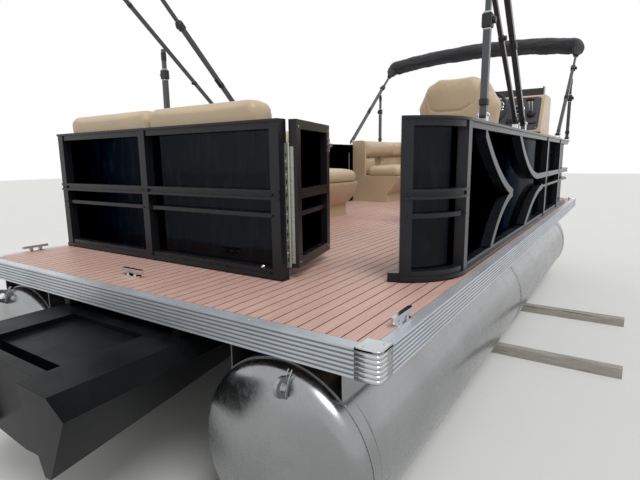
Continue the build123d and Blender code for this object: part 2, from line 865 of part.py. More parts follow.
with BuildPart() as hinge_leaves:
    for name, hinge, heading, width, to_fence in gates:
        place = Location((hinge[0], hinge[1]), to_fence)
        leaf_x = hinge_side - seat_gap - hinge_leaf / 2
        clear = hinge_radius + seat_gap
        with BuildSketch(Plane.XY.offset(deck + hinge_low)):
            with Locations(place * Location((leaf_x, (clear + hinge_leaf_width) / 2))):
                Rectangle(hinge_leaf, hinge_leaf_width - clear)
        extrude(amount=hinge_high - hinge_low)
        for lug_bottom in (hinge_low, hinge_high - hinge_lug):
            with BuildSketch(Plane.XY.offset(deck + lug_bottom)):
                with Locations(place * Location((leaf_x, clear / 2))):
                    Rectangle(hinge_leaf, clear)
                with Locations(place):
                    Circle(hinge_radius - seat_gap)
            extrude(amount=hinge_lug)
        with BuildSketch(Plane.XY.offset(deck + hinge_low)):
            with Locations(place):
                Circle(hinge_pin)
        extrude(amount=hinge_high - hinge_low)
save(hinge_leaves.part, "hinge_leaves")


# Lounges: each is a base with a toe recess, a hinged seat over a storage well, and a backrest
seat_top = deck + seat_height
pad_bottom = base_top + seat_gap
pad_thickness = cushion_thickness - seat_gap
overhang = 20.0


def lounge_base(front, back, plane, run):
    """Lounge base with a rounded belly over a toe recess; front and back are distances in the plane."""
    lean = 1 if front > back else -1
    foot = front - lean * (toe_recess - overhang)
    belly_height = base_top - deck - toe_height
    with BuildPart() as base:
        with BuildSketch(plane):
            with BuildLine():
                floor = Line((back, deck), (foot, deck))
                riser = Line(floor @ 1, (foot, deck + toe_height))
                middle = (front - lean * toe_recess * 0.25, deck + toe_height + belly_height * 0.45)
                belly = ThreePointArc(riser @ 1, middle, (front, base_top - overhang))
                lip = Line(belly @ 1, (front, base_top))
                lid = Line(lip @ 1, (back, base_top))
                Line(lid @ 1, (back, deck))
            make_face()
        extrude(amount=run)
    return base.part


def well(low_x, high_x, low_y, high_y):
    """Solid that hollows a base under its lid."""
    with BuildPart() as hollow:
        with BuildSketch(Plane.XY.offset(deck + box_floor)):
            with Locations(((low_x + high_x) / 2, (low_y + high_y) / 2)):
                Rectangle(high_x - low_x, high_y - low_y)
        extrude(amount=base_top - deck - box_floor)
    return hollow.part


def cushion(outline, bottom, thickness):
    """Plain seat cushion with a rounded plan and a softened top edge."""
    with BuildPart() as pad:
        with BuildSketch(Plane.XY.offset(bottom)) as plan:
            with BuildLine():
                Polyline(*outline, close=True)
            make_face()
            fillet(plan.vertices(), seat_round)
        extrude(amount=thickness)
        chamfer(pad.faces().sort_by(Axis.Z)[-1].edges(), seat_round * 0.4)
    return pad.part


def box_outline(low_x, high_x, low_y, high_y):
    """Corners of a rectangle in plan."""
    return ((low_x, low_y), (high_x, low_y), (high_x, high_y), (low_x, high_y))


aft_back = aft(fence_stern) + fence_depth / 2 + skin_thickness + 1
aft_front = aft_back + stern_seat_depth
port_back = -fence_face + 1
port_front = port_back + bench_depth
bench_fore = aft(bench_end)
stern_base_sections = (
    # share of the belly's height, set back from the base's front and end
    (0.0, toe_recess - overhang),
    (0.3, 60.0),
    (0.7, 12.0),
    (1.0, 0.0),
)


def stern_outline(setback):
    """Plan of the stern bench: its starboard end is cut parallel to the open gate."""
    front = aft_front - overhang - setback
    return (
        (port_back, aft_back),
        (stern_back_end - setback, aft_back),
        (stern_back_end - setback, aft_back + back_thickness),
        (stern_seat_end - setback, front),
        (port_back, front),
    )


with BuildPart() as aft_lounge_base:
    for share, setback in stern_base_sections:
        with BuildSketch(Plane.XY.offset(deck + toe_height + share * (base_top - overhang - deck - toe_height))):
            with BuildLine():
                Polyline(*stern_outline(setback), close=True)
            make_face()
    loft(ruled=True)
    for bottom, height, setback in ((deck, toe_height, toe_recess - overhang), (base_top - overhang, overhang, 0)):
        with BuildSketch(Plane.XY.offset(bottom)):
            with BuildLine():
                Polyline(*stern_outline(setback), close=True)
            make_face()
        extrude(amount=height)
    bench_start = aft_front - toe_recess - overhang
    add(lounge_base(port_front - overhang, port_back, Plane.XZ.offset(-bench_start), bench_start - bench_fore))
    foot = port_front - toe_recess - box_wall
    inner_back = port_back + back_thickness + box_wall
    add(well(inner_back, foot, aft_front + box_wall, bench_fore - box_wall), mode=Mode.SUBTRACT)
    stern_inner = aft_back + back_thickness + box_wall
    stern_foot = aft_front - toe_recess - box_wall
    stern_well_end = stern_seat_end - toe_recess - box_wall
    add(well(port_front + box_wall, stern_well_end, stern_inner, stern_foot), mode=Mode.SUBTRACT)
save(aft_lounge_base.part, "aft_lounge_base")

with BuildPart() as aft_lounge_back:
    with BuildSketch(Plane.XY.offset(base_top + seat_gap)) as plan:
        with Locations(((port_back + stern_back_end) / 2, aft_back + back_thickness / 2)):
            Rectangle(stern_back_end - port_back, back_thickness)
        with Locations((port_back + back_thickness / 2, (aft_back + bench_fore) / 2)):
            Rectangle(back_thickness, bench_fore - aft_back)
        fillet(plan.vertices().sort_by(Axis.X)[-2:], seat_round)
    extrude(amount=deck + back_height - base_top - seat_gap)
    chamfer(aft_lounge_back.faces().sort_by(Axis.Z)[-1].edges(), seat_round * 0.6)
save(aft_lounge_back.part, "aft_lounge_back")

side_seat_back = port_back + back_thickness + lid_gap
stern_seat_back = aft_back + back_thickness + lid_gap
stern_seat_outline = (
    (port_front + lid_gap, stern_seat_back),
    (stern_back_end, stern_seat_back),
    (stern_seat_end + overhang, aft_front),
    (port_front + lid_gap, aft_front),
)
save(cushion(stern_seat_outline, pad_bottom, pad_thickness), "aft_seat")
bench_outline = box_outline(side_seat_back, port_front, aft_front + lid_gap, bench_fore)
save(cushion(bench_outline, pad_bottom, pad_thickness), "port_bench_seat")
corner_outline = box_outline(side_seat_back, port_front, stern_seat_back, aft_front)
save(cushion(corner_outline, pad_bottom, pad_thickness), "corner_seat")


def side_lounge(side, start, end, name):
    """Base with an end panel, bolstered backrest and seat of a lounge along one side, facing inboard."""
    back = side * (fence_face - 1)
    front = back - side * (sofa_depth - overhang)
    sofa_top = deck + sofa_back
    bolster_low = sofa_top - bolster_height
    corner_radius = fence_radius - fence_depth / 2 - skin_thickness - 1
    panel_plane = Plane.XZ.offset(-aft(start))
    with BuildPart() as base:
        add(lounge_base(front, back, panel_plane, start - end))
        with BuildSketch(panel_plane) as panel:
            with Locations((back - side * back_thickness / 2, (base_top + sofa_top) / 2)):
                Rectangle(back_thickness, sofa_top - base_top)
            fillet(panel.vertices().sort_by(Axis.Y)[-2:], seat_round)
        extrude(amount=-sofa_panel)
        outer = base.edges().filter_by(Axis.Z).sort_by(lambda e: side * e.center().X + e.center().Y)[-1]
        fillet(outer, corner_radius)
        edges = sorted((back - side * (back_thickness + box_wall), front + side * (toe_recess - overhang + box_wall)))
        well_end = aft(end) - back_thickness - box_wall
        add(well(edges[0], edges[1], aft(start) + 2 * box_wall, well_end), mode=Mode.SUBTRACT)
    save(base.part, name + "_base")
    with BuildPart() as rest:
        # drawn past the fence side and the bow end, then trimmed to the fence's inner line
        along_side = Plane.XZ.offset(-aft(start) - sofa_panel - seat_gap)
        along_bow = Plane.YZ.offset(back + side * seat_round)
        runs = (
            # plane, outer edge of the section, way in from it, length of the run
            (along_side, back, -side, sofa_panel - seat_round - (end - start)),
            (along_bow, aft(end), -1, -side * (sofa_return + seat_round)),
        )
        for plane, edge, way, run in runs:
            with BuildSketch(plane) as section:
                with Locations((edge + way * (back_thickness - seat_round) / 2, (bolster_low + sofa_top) / 2)):
                    Rectangle(back_thickness + seat_round, bolster_height)
                fillet(section.vertices(), seat_round)
                lower_height = bolster_low - pad_bottom + 2 * seat_round
                with Locations((edge + way * (lower_back - seat_round) / 2, pad_bottom + lower_height / 2)):
                    Rectangle(lower_back + seat_round, lower_height)
            extrude(amount=run)
        with BuildSketch(Plane.XY.offset(deck)):
            with Locations((0, aft(end) - deck_length / 2)):
                RectangleRounded(2 * abs(back), deck_length, corner_radius)
        extrude(amount=2 * sofa_back, mode=Mode.INTERSECT)
    save(rest.part, name + "_back")
    edges = sorted((back - side * (back_thickness + lid_gap), front - side * overhang))
    seat_end = aft(end) - back_thickness - lid_gap
    outline = box_outline(edges[0], edges[1], aft(start) + overhang / 2, seat_end)
    save(cushion(outline, pad_bottom, pad_thickness), name + "_seat")


side_lounge(-1, sofa_start, sofa_end, "port_sofa")
side_lounge(1, console_start + console_depth + sofa_panel, sofa_end, "starboard_sofa")

# Helm console: open at the bow side below, with a sloping dash and a low screen
console_x = fence_face - 1 - console_width / 2
console_aft = aft(console_start)
console_fore = aft(console_start + console_depth)
console_top = deck + console_height
with BuildPart() as console:
    with BuildSketch(Plane.YZ.offset(console_x - console_width / 2)) as side_view:
        with BuildLine():
            Polyline(
                (console_aft + console_toe, deck),
                (console_aft + console_toe, deck + console_knee),
                (console_aft, deck + dash_low),
                (console_aft + dash_run, console_top),
                (console_fore, console_top),
                (console_fore, deck),
                close=True,
            )
        make_face()
        fillet(side_view.vertices().group_by(Axis.Y)[-1], seat_round)
    extrude(amount=console_width)
    # locker behind the dash, open towards the bow
    locker_depth = console_depth - dash_run - console_wall
    locker_height = console_knee - box_floor
    with BuildSketch(Plane.XZ.offset(-console_fore)):
        with Locations((console_x, deck + box_floor + locker_height / 2)):
            Rectangle(console_width - 2 * console_wall, locker_height)
    extrude(amount=locker_depth, mode=Mode.SUBTRACT)
    # wrap-round screen on the top
    with BuildSketch(Plane.XY.offset(console_top)):
        screen_depth = console_depth - dash_run - 2 * seat_round
        with Locations((console_x, console_fore - seat_round - screen_depth / 2)):
            RectangleRounded(console_width - 2 * seat_round, screen_depth, seat_round)
            inner_width = console_width - 2 * seat_round - 2 * screen_thickness
            RectangleRounded(inner_width, screen_depth - 2 * screen_thickness, seat_round * 0.8, mode=Mode.SUBTRACT)
        with Locations((console_x, console_fore - seat_round - screen_depth)):
            Rectangle(console_width, screen_depth, mode=Mode.SUBTRACT)
    extrude(amount=screen_height)
save(console.part, "console")

# Steering wheel square to the sloping dash, on its column
dash_slope = atan2(console_height - dash_low, dash_run)
dash_point = Vector(chair_x, console_aft + dash_run / 2, deck + (dash_low + console_height) / 2)
dash_normal = Vector(0, -sin(dash_slope), cos(dash_slope))
wheel_plane = Plane(dash_point + dash_normal * wheel_reach, x_dir=(1, 0, 0), z_dir=dash_normal)
with BuildPart() as steering_wheel:
    with BuildSketch(wheel_plane):
        Circle(wheel_radius)
        Circle(wheel_radius - 2 * wheel_rim, mode=Mode.SUBTRACT)
        Circle(hub_radius)
        with PolarLocations(0, 3):
            with Locations((wheel_radius / 2, 0)):
                Rectangle(wheel_radius - wheel_rim, spoke_width)
    extrude(amount=wheel_rim, both=True)
save(steering_wheel.part, "steering_wheel")

with BuildPart() as steering_column:
    with BuildSketch(wheel_plane.offset(-wheel_rim - seat_gap)):
        Circle(column_radius)
    extrude(amount=wheel_rim + 2 * seat_gap - wheel_reach)
save(steering_column.part, "steering_column")

# Helm chair
chair_base = deck + chair_seat_height - chair_seat_thickness
with BuildPart() as chair_pedestal:
    with BuildSketch(Plane.XY.offset(deck)):
        with Locations((chair_x, aft(chair_y))):
            Circle(chair_base_radius)
    extrude(amount=chair_base_height)
    with BuildSketch(Plane.XY.offset(deck + chair_base_height)):
        with Locations((chair_x, aft(chair_y))):
            Circle(chair_post_radius)
    extrude(amount=chair_base - seat_gap - deck - chair_base_height)
save(chair_pedestal.part, "chair_pedestal")

with BuildPart() as chair_seat:
    with BuildSketch(Plane.XY.offset(chair_base)):
        with Locations((chair_x, aft(chair_y))):
            RectangleRounded(chair_width, chair_seat_depth, chair_width / 6)
    extrude(amount=chair_seat_thickness)
    chamfer(chair_seat.faces().sort_by(Axis.Z)[-1].edges(), seat_round * 0.6)
save(chair_seat.part, "chair_seat")

back_rise = deck + chair_top
chair_back_outline = (
    # half width over half the chair's width, drop below the chair's top
    (1.07, chair_top - chair_seat_height - seat_gap),
    (1.11, 200.0),
    (0.79, 40.0),
    (0.46, 0.0),
)
with BuildPart() as chair_back:
    with BuildSketch(Plane.XZ.offset(chair_back_aft - aft(chair_y))):
        with BuildLine():
            right = [(chair_x + chair_width / 2 * share, back_rise - drop) for share, drop in chair_back_outline]
            left = [(2 * chair_x - x, z) for x, z in reversed(right)]
            Polyline(*right, *left, close=True)
        make_face()
    extrude(amount=-chair_back_thickness)
    chamfer(chair_back.faces().sort_by(Axis.Y)[0].edges(), seat_round * 0.5)
save(chair_back.part, "chair_back")


# Folding tops: two legs from their pivots, a booted roll between them and two props
def bars(points, size):
    """Square bars along the same points on both sides, in side view."""
    with BuildPart() as run:
        for side in (-1, 1):
            with BuildSketch(Plane.YZ.offset(side * top_x - size / 2)):
                with BuildLine():
                    Polyline(*points)
                trace(line_width=size)
            extrude(amount=size)
    return run.part


def pinned_bars(foot, end, size):
    """Square bars on both sides from an eye on its pin to a cut end."""
    with BuildPart() as run:
        add(bars((foot, end), size))
        for side in (-1, 1):
            with BuildSketch(Plane.YZ.offset(side * top_x - size / 2)):
                with Locations(foot):
                    Circle(size / 2)
            extrude(amount=size)
            with BuildSketch(Plane.YZ.offset(side * top_x - size / 2)):
                with Locations(foot):
                    Circle(pin_radius + pin_play)
            extrude(amount=size, mode=Mode.SUBTRACT)
    return run.part


def along(start, slope, lean, distance):
    """Point at a distance up a slope; lean is -1 when it rises aft and 1 when it rises forward."""
    return (start[0] + lean * distance * cos(slope), start[1] + distance * sin(slope))


def foot_clear(foot, slope, lean):
    """Start of the inner tube, inside the sleeve and well clear of the pin."""
    return along(foot, slope, lean, top_sleeve / 2)


def top_frame(name, pivot, angle, lean, prop, stay_foot, stay_angle):
    """One folded top: sleeved legs, the roll and the props; a stay foot of None leaves the lower arms out."""
    slope = radians(angle)
    foot = (aft(pivot), deck + top_pivot_height)
    end = along(foot, slope, lean, top_arm_length)
    sleeve_end = along(foot, slope, lean, top_sleeve)
    collar = (along(foot, slope, lean, top_sleeve - collar_length), sleeve_end)
    leg_parts = [pinned_bars(foot, sleeve_end, top_tube), bars((foot_clear(foot, slope, lean), end), top_inner_tube)]
    leg_parts.append(bars(collar, top_tube + collar_proud))
    held_slope, held_foot, held_tube = slope, foot, top_tube
    if stay_foot is not None:
        held_slope, held_tube = radians(stay_angle), top_inner_tube
        held_foot = (aft(stay_foot), deck + top_pivot_height)
        stay_end = along(held_foot, held_slope, lean, top_stay_length)
        leg_parts.append(bars((held_foot, stay_end, end), top_inner_tube))
    save(joined(*leg_parts), name + "_legs")
    with BuildPart() as roll:
        half = top_x + top_roll_radius
        with BuildLine():
            ThreePointArc((-half, end[0], end[1]), (0, end[0], end[1] + top_crown), (half, end[0], end[1]))
        with BuildSketch(Plane.YZ.offset(-half)):
            with Locations(end):
                RegularPolygon(top_roll_radius, top_roll_sides)
        sweep()
        with BuildSketch(Plane.XY.offset(end[1] - top_roll_radius * 2)):
            with Locations((0, end[0])):
                Rectangle(2 * (top_x - top_inner_tube / 2 - seat_gap), top_roll_radius * 3)
        extrude(amount=top_roll_radius * 4 + top_crown, mode=Mode.INTERSECT)
    save(roll.part, name + "_roll")
    reach = abs(aft(prop) - held_foot[0])
    under = (held_tube / 2 + post_clear) / cos(held_slope) + post_inner_tube / 2 * sin(held_slope) / cos(held_slope)
    prop_foot = (aft(prop), fence_top + prop_pivot_height)
    prop_top = (aft(prop), held_foot[1] + reach * sin(held_slope) / cos(held_slope) - under)
    sleeve_top = (aft(prop), prop_foot[1] + post_sleeve)
    clamp = (sleeve_top, (aft(prop), sleeve_top[1] + collar_length))
    prop_parts = (
        pinned_bars(prop_foot, sleeve_top, post_tube),
        bars(clamp, post_tube + collar_proud),
        bars((sleeve_top, prop_top), post_inner_tube),
    )
    save(joined(*prop_parts), name + "_props")


top_frame("aft_top", top_aft_pivot, top_aft_angle, -1, post_aft, top_stay_foot, top_stay_angle)
top_frame("fore_top", top_fore_pivot, top_fore_angle, 1, post_fore, None, 0)

# Forked mounts on the top rail, each with its pin
leg_pivot_rise = deck + top_pivot_height - fence_top
top_forks = (
    # distance from the stern, pivot height above the rail, width of the bar it holds
    (top_aft_pivot, leg_pivot_rise, top_tube),
    (top_fore_pivot, leg_pivot_rise, top_tube),
    (post_aft, prop_pivot_height, post_tube),
    (post_fore, prop_pivot_height, post_tube),
)
with BuildPart() as top_mounts:
    for place, rise, bar in top_forks:
        fork_half = bar / 2 + fork_play + fork_wall
        ear = fork_length / 4
        for side in (-1, 1):
            with BuildSketch(Plane.YZ.offset(side * top_x - fork_half)):
                with BuildLine():
                    Polyline(
                        (aft(place) - fork_length / 2, fence_top),
                        (aft(place) + fork_length / 2, fence_top),
                        (aft(place) + fork_length / 2, fence_top + rise),
                        (aft(place) + ear, fence_top + rise + 1.5 * ear),
                        (aft(place) - ear, fence_top + rise + 1.5 * ear),
                        (aft(place) - fork_length / 2, fence_top + rise),
                        close=True,
                    )
                make_face()
            extrude(amount=2 * fork_half)
            with BuildSketch(Plane.YZ.offset(side * top_x - bar / 2 - fork_play)):
                with Locations((aft(place), fence_top + fork_floor + rise)):
                    Rectangle(2 * fork_length, 2 * rise)
            extrude(amount=bar + 2 * fork_play, mode=Mode.SUBTRACT)
            with BuildSketch(Plane.YZ.offset(side * top_x - fork_half - fork_wall)):
                with Locations((aft(place), fence_top + rise)):
                    Circle(pin_radius)
            extrude(amount=2 * (fork_half + fork_wall))
    # rests under the feet of the aft top's lower arms
    with BuildSketch(Plane.XY.offset(fence_top)):
        with Locations((0, aft(top_stay_foot))):
            with GridLocations(2 * top_x, 1, 2, 1):
                Rectangle(top_tube, fork_length)
    extrude(amount=leg_pivot_rise - top_inner_tube / 2 - post_clear)
save(top_mounts.part, "top_mounts")
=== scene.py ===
import json
from collections import namedtuple
from itertools import product
from math import acos, atan2, ceil, cos, exp, pi, radians, sin, sqrt, tan
import bmesh
import bpy
import numpy as np
from mathutils import Matrix, Vector, noise


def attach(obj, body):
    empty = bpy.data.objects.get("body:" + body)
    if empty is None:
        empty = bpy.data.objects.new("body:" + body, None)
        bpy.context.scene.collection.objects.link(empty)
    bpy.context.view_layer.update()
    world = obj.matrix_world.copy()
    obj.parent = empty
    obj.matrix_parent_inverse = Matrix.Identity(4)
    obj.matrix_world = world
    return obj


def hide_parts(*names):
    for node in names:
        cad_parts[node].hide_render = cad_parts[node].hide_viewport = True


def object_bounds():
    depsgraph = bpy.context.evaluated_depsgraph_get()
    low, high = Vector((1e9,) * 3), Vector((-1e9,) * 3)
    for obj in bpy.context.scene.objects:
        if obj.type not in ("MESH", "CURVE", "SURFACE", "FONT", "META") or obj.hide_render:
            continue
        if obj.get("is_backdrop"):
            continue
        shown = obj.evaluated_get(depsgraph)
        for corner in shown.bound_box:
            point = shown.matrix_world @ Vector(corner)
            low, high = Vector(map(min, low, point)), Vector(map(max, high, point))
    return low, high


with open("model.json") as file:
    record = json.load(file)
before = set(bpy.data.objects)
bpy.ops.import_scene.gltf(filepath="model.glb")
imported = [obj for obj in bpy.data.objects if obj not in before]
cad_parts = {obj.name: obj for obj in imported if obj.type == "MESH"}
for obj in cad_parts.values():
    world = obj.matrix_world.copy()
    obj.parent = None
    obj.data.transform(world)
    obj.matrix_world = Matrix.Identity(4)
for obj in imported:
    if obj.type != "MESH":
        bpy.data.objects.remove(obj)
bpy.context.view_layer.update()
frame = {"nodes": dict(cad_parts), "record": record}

nodes = frame["nodes"]

# Lengths are metres. Pieces are drawn in the deck frame: X starboard, Y forward from the stern edge,
# Z up from the deck. TO_ROW takes them to the row's frame.
DECK_Z, DECK_LENGTH, DECK_HALF = 0.882, 5.62, 1.25
PLANK_PITCH, RIB_PITCH, CONSOLE_TOP = 0.0549, 0.01475, 1.0525
TO_ROW = Matrix.Translation((0, -2.56, DECK_Z))
X, Y, Z = Vector((1, 0, 0)), Vector((0, 1, 0)), Vector((0, 0, 1))


# Materials: a small kit of shader nodes
def add_node(tree, kind, sockets=None, **settings):
    """A shader node with its settings, its sockets set to values or linked to other sockets."""
    made = tree.nodes.new("ShaderNode" + kind)
    for key, value in settings.items():
        setattr(made, key, value)
    for key, value in (sockets or {}).items():
        if isinstance(value, bpy.types.NodeSocket):
            tree.links.new(value, made.inputs[key])
        else:
            made.inputs[key].default_value = value
    return made


class Look:
    """A Principled material; plain values go straight on the shader's sockets."""

    def __init__(self, name, colour, rough, **sockets):
        self.mat = bpy.data.materials.new(name)
        self.mat.use_nodes = True
        self.mat.diffuse_color = (*colour, 1)
        self.tree = self.mat.node_tree
        self.shader = self.tree.nodes["Principled BSDF"]
        self.shader.inputs["Base Color"].default_value = (*colour, 1)
        self.shader.inputs["Roughness"].default_value = rough
        for key, value in sockets.items():
            self.shader.inputs[key.replace("_", " ")].default_value = value
        self.place = self.node("TexCoord").outputs["Object"]
        self.normal = None

    def node(self, kind, sockets=None, **settings):
        return add_node(self.tree, kind, sockets, **settings)

    def where(self, scale=(1, 1, 1)):
        """Object coordinates in metres, scaled along each axis."""
        if scale == (1, 1, 1):
            return self.place
        return self.node("Mapping", {"Vector": self.place, "Scale": scale}).outputs["Vector"]

    def axis(self, name):
        """One object coordinate, in metres."""
        return self.node("SeparateXYZ", {"Vector": self.place}).outputs[name]

    def facing(self, name):
        """One part of the surface normal."""
        normal = self.node("NewGeometry").outputs["Normal"]
        return self.node("SeparateXYZ", {"Vector": normal}).outputs[name]

    def noise(self, size, detail=4.0, rough=0.5, scale=(1, 1, 1)):
        sockets = {"Vector": self.where(scale), "Scale": 1 / size, "Detail": detail, "Roughness": rough}
        return self.node("TexNoise", sockets).outputs["Fac"]

    def cells(self, size):
        return self.node("TexVoronoi", {"Vector": self.place, "Scale": 1 / size}).outputs["Distance"]

    def range(self, value, low, high, out_low=0.0, out_high=1.0):
        sockets = {"Value": value, "From Min": low, "From Max": high, "To Min": out_low, "To Max": out_high}
        return self.node("MapRange", sockets).outputs["Result"]

    def maths(self, kind, a, b=0.0):
        return self.node("Math", {0: a, 1: b}, operation=kind).outputs[0]

    def mix(self, share, a, b):
        """Colour between a and b."""
        a, b = ((*c, 1) if isinstance(c, tuple) else c for c in (a, b))
        return self.node("Mix", {0: share, 6: a, 7: b}, data_type="RGBA").outputs[2]

    def soften(self, radius):
        """Rounds sharp edges in the shading."""
        self.normal = self.node("Bevel", {"Radius": radius}, samples=4).outputs["Normal"]
        self.drive("Normal", self.normal)

    def bump(self, height, depth, strength=1.0):
        """Adds a relief, its depth in metres."""
        sockets = {"Height": height, "Distance": depth, "Strength": strength}
        if self.normal is not None:
            sockets["Normal"] = self.normal
        self.normal = self.node("Bump", sockets).outputs["Normal"]
        self.drive("Normal", self.normal)

    def drive(self, key, value):
        self.tree.links.new(value, self.shader.inputs[key])

    def colour(self, share, a, b):
        """Drives the colour by a mix."""
        self.drive("Base Color", self.mix(share, a, b))

    def driven(self, key):
        """What drives a socket of the shader so far."""
        return self.shader.inputs[key].links[0].from_socket


def shade(share, colour):
    return tuple(share * c for c in colour)


def aluminium(name, colour, rough, grain, metal=1.0):
    """Aluminium with fine scratches along the grain's long axis, dull patches and handling marks."""
    look = Look(name, colour, rough, Metallic=metal)
    look.soften(0.0012)
    fine = look.noise(0.02, 6, 0.6, grain)
    cloud = look.noise(0.3, 4)
    marks = look.range(look.noise(0.045, 5, 0.7), 0.58, 0.72)
    smooth = look.range(fine, 0.25, 0.75, rough * 0.75, rough * 1.25)
    look.drive("Roughness", look.maths("ADD", smooth, look.maths("MULTIPLY", marks, 0.12)))
    tone = look.mix(look.range(cloud, 0.35, 0.65), shade(0.86, colour), colour)
    look.colour(look.maths("MULTIPLY", marks, 0.3), tone, shade(0.7, colour))
    look.bump(fine, 0.0002, 0.3)
    return look


def painted(name, colour, rough, level):
    """Powder coat with a fine orange peel, dust in patches and a paler film on what faces up."""
    look = Look(name, colour, rough, Specular_IOR_Level=level)
    look.soften(0.0015)
    dust = look.range(look.noise(0.12, 5, 0.6), 0.45, 0.75, 0.0, 0.5)
    up = look.range(look.facing("Z"), 0.3, 1.0, 0.25, 1.0)
    film = look.maths("MULTIPLY", dust, up)
    look.colour(film, colour, tuple(c + 0.012 for c in colour))
    look.drive("Roughness", look.range(film, 0.0, 0.5, rough, rough + 0.15))
    look.bump(look.noise(0.0022, 2), 0.0002, 0.25)
    return look


def gloss(name):
    """High-gloss sheet, slightly wavy, with faint rub marks; the tint keeps it dark at grazing angles."""
    tint = (0.22, 0.23, 0.245, 1)
    look = Look(name, (0.015, 0.0165, 0.019), 0.06, Metallic=1.0, Specular_Tint=tint)
    rubs = look.range(look.noise(0.05, 6, 0.65, (1, 1, 0.25)), 0.5, 0.8)
    look.drive("Roughness", look.range(rubs, 0.0, 1.0, 0.05, 0.16))
    look.colour(rubs, (0.013, 0.0145, 0.017), (0.02, 0.022, 0.025))
    look.bump(look.noise(0.3, 1), 0.006, 0.35)
    return look


def vinyl(name, colour, rough=0.42):
    """Soft marine vinyl: pebbled grain, slow creases and tone changes."""
    look = Look(name, colour, rough, Sheen_Weight=0.12, Sheen_Roughness=0.4)
    look.soften(0.006)
    tone = look.mix(look.range(look.noise(0.25, 3), 0.3, 0.7), shade(0.92, colour), colour)
    fleck = look.range(look.noise(0.004, 2), 0.35, 0.65, 0.0, 0.12)
    look.colour(fleck, tone, shade(0.75, colour))
    look.drive("Roughness", look.range(look.noise(0.08, 4), 0.3, 0.7, rough - 0.06, rough + 0.08))
    look.bump(look.noise(0.11, 4, 0.55), 0.005, 0.3)
    look.bump(look.cells(0.0018), 0.0003, 0.35)
    return look


SEAM_BLACK = (0.004, 0.0035, 0.003)


def planking(name):
    """Wood-tone decking with printed grain along Y and a slightly different tone on each plank."""
    look = Look(name, (0.58, 0.36, 0.3), 0.5)
    grain = look.noise(0.004, 8, 0.65, (1, 0.03, 1))
    wide = look.noise(0.016, 4, 0.6, (1, 0.02, 1))
    plank = look.maths("FLOOR", look.maths("DIVIDE", look.axis("X"), PLANK_PITCH))
    own = look.node("TexWhiteNoise", {"W": plank}, noise_dimensions="1D").outputs["Value"]
    tone = look.mix(look.range(grain, 0.3, 0.7), (0.46, 0.27, 0.22), (0.7, 0.46, 0.39))
    tone = look.mix(look.range(wide, 0.35, 0.65, 0.0, 0.35), tone, (0.63, 0.42, 0.36))
    tone = look.mix(look.maths("MULTIPLY", own, 0.25), tone, (0.46, 0.28, 0.22))
    scuffs = look.range(look.noise(0.35, 6, 0.6), 0.52, 0.75, 0.0, 0.25)
    tone = look.mix(scuffs, tone, (0.7, 0.55, 0.49))
    look.colour(look.range(look.facing("Z"), 0.4, 0.8), SEAM_BLACK, tone)
    look.drive("Roughness", look.range(grain, 0.3, 0.7, 0.42, 0.6))
    look.bump(grain, 0.0006, 0.4)
    return look


def board_look(name):
    """Marine plywood: black where it shows between planks, bare veneer below."""
    look = Look(name, (0.02, 0.018, 0.016), 0.7)
    grain = look.noise(0.008, 6, 0.65, (1, 0.05, 1))
    below = look.mix(grain, (0.25, 0.16, 0.09), (0.42, 0.29, 0.18))
    look.colour(look.range(look.facing("Z"), 0.4, 0.6), below, SEAM_BLACK)
    look.bump(grain, 0.0005, 0.3)
    return look


def timber_look(name):
    """Weathered sawn timber with checks along its grain; the checks are real, their near-black colour is painted
    shade.
    """
    look = Look(name, (0.33, 0.28, 0.23), 0.85)
    grain = look.noise(0.006, 8, 0.7, (0.04, 1, 1))
    checks = look.range(look.noise(0.01, 3, 0.6, (0.025, 1, 1)), 0.6, 0.68)
    tone = look.mix(look.range(grain, 0.3, 0.7), (0.24, 0.215, 0.185), (0.5, 0.47, 0.43))
    tone = look.mix(look.range(look.noise(0.25, 3), 0.35, 0.65, 0.0, 0.4), tone, (0.31, 0.3, 0.29))
    # The checks are coloured near black: painted shade inside the cracks.
    look.colour(checks, tone, (0.06, 0.05, 0.04))
    look.bump(grain, 0.003, 0.6)
    look.bump(checks, -0.004, 0.8)
    return look


def cloth(name, colour, sheen):
    """Coated canvas with a fine weave and small creases."""
    look = Look(name, colour, 0.72, Sheen_Weight=sheen, Sheen_Roughness=0.5)
    cloud = look.range(look.noise(0.12, 4), 0.3, 0.7)
    look.colour(cloud, shade(0.7, colour), shade(1.2, colour))
    look.bump(look.noise(0.03, 5, 0.6), 0.004, 0.5)
    look.bump(look.node("TexWave", {"Vector": look.place, "Scale": 300.0}).outputs["Fac"], 0.0002, 0.3)
    return look


def console_look(name, colour):
    """Tan moulding below, smoked screen above the console's top."""
    look = vinyl(name, colour, 0.38)
    screen = look.maths("GREATER_THAN", look.axis("Z"), DECK_Z + CONSOLE_TOP)
    look.colour(screen, look.driven("Base Color"), (0.012, 0.013, 0.016))
    smoother = look.maths("MULTIPLY", screen, 0.3)
    look.drive("Roughness", look.maths("SUBTRACT", look.driven("Roughness"), smoother))
    return look


def trim_look(name):
    """Edge trim: satin aluminium with painted shade and painted reflection in the grooves between its ribs."""
    look = aluminium(name, (0.6, 0.64, 0.69), 0.42, (0.05, 0.05, 1), 0.5)
    below_top = look.maths("SUBTRACT", DECK_Z, look.axis("Z"))
    share = look.maths("FRACT", look.maths("DIVIDE", below_top, RIB_PITCH))
    # The grooves between the ribs are coloured dark by height: painted shade and reflection, not dirt on the
    # metal.
    groove = look.range(share, 0.52, 0.6, 0.0, 0.6)
    look.colour(groove, look.driven("Base Color"), (0.06, 0.065, 0.065))
    return look


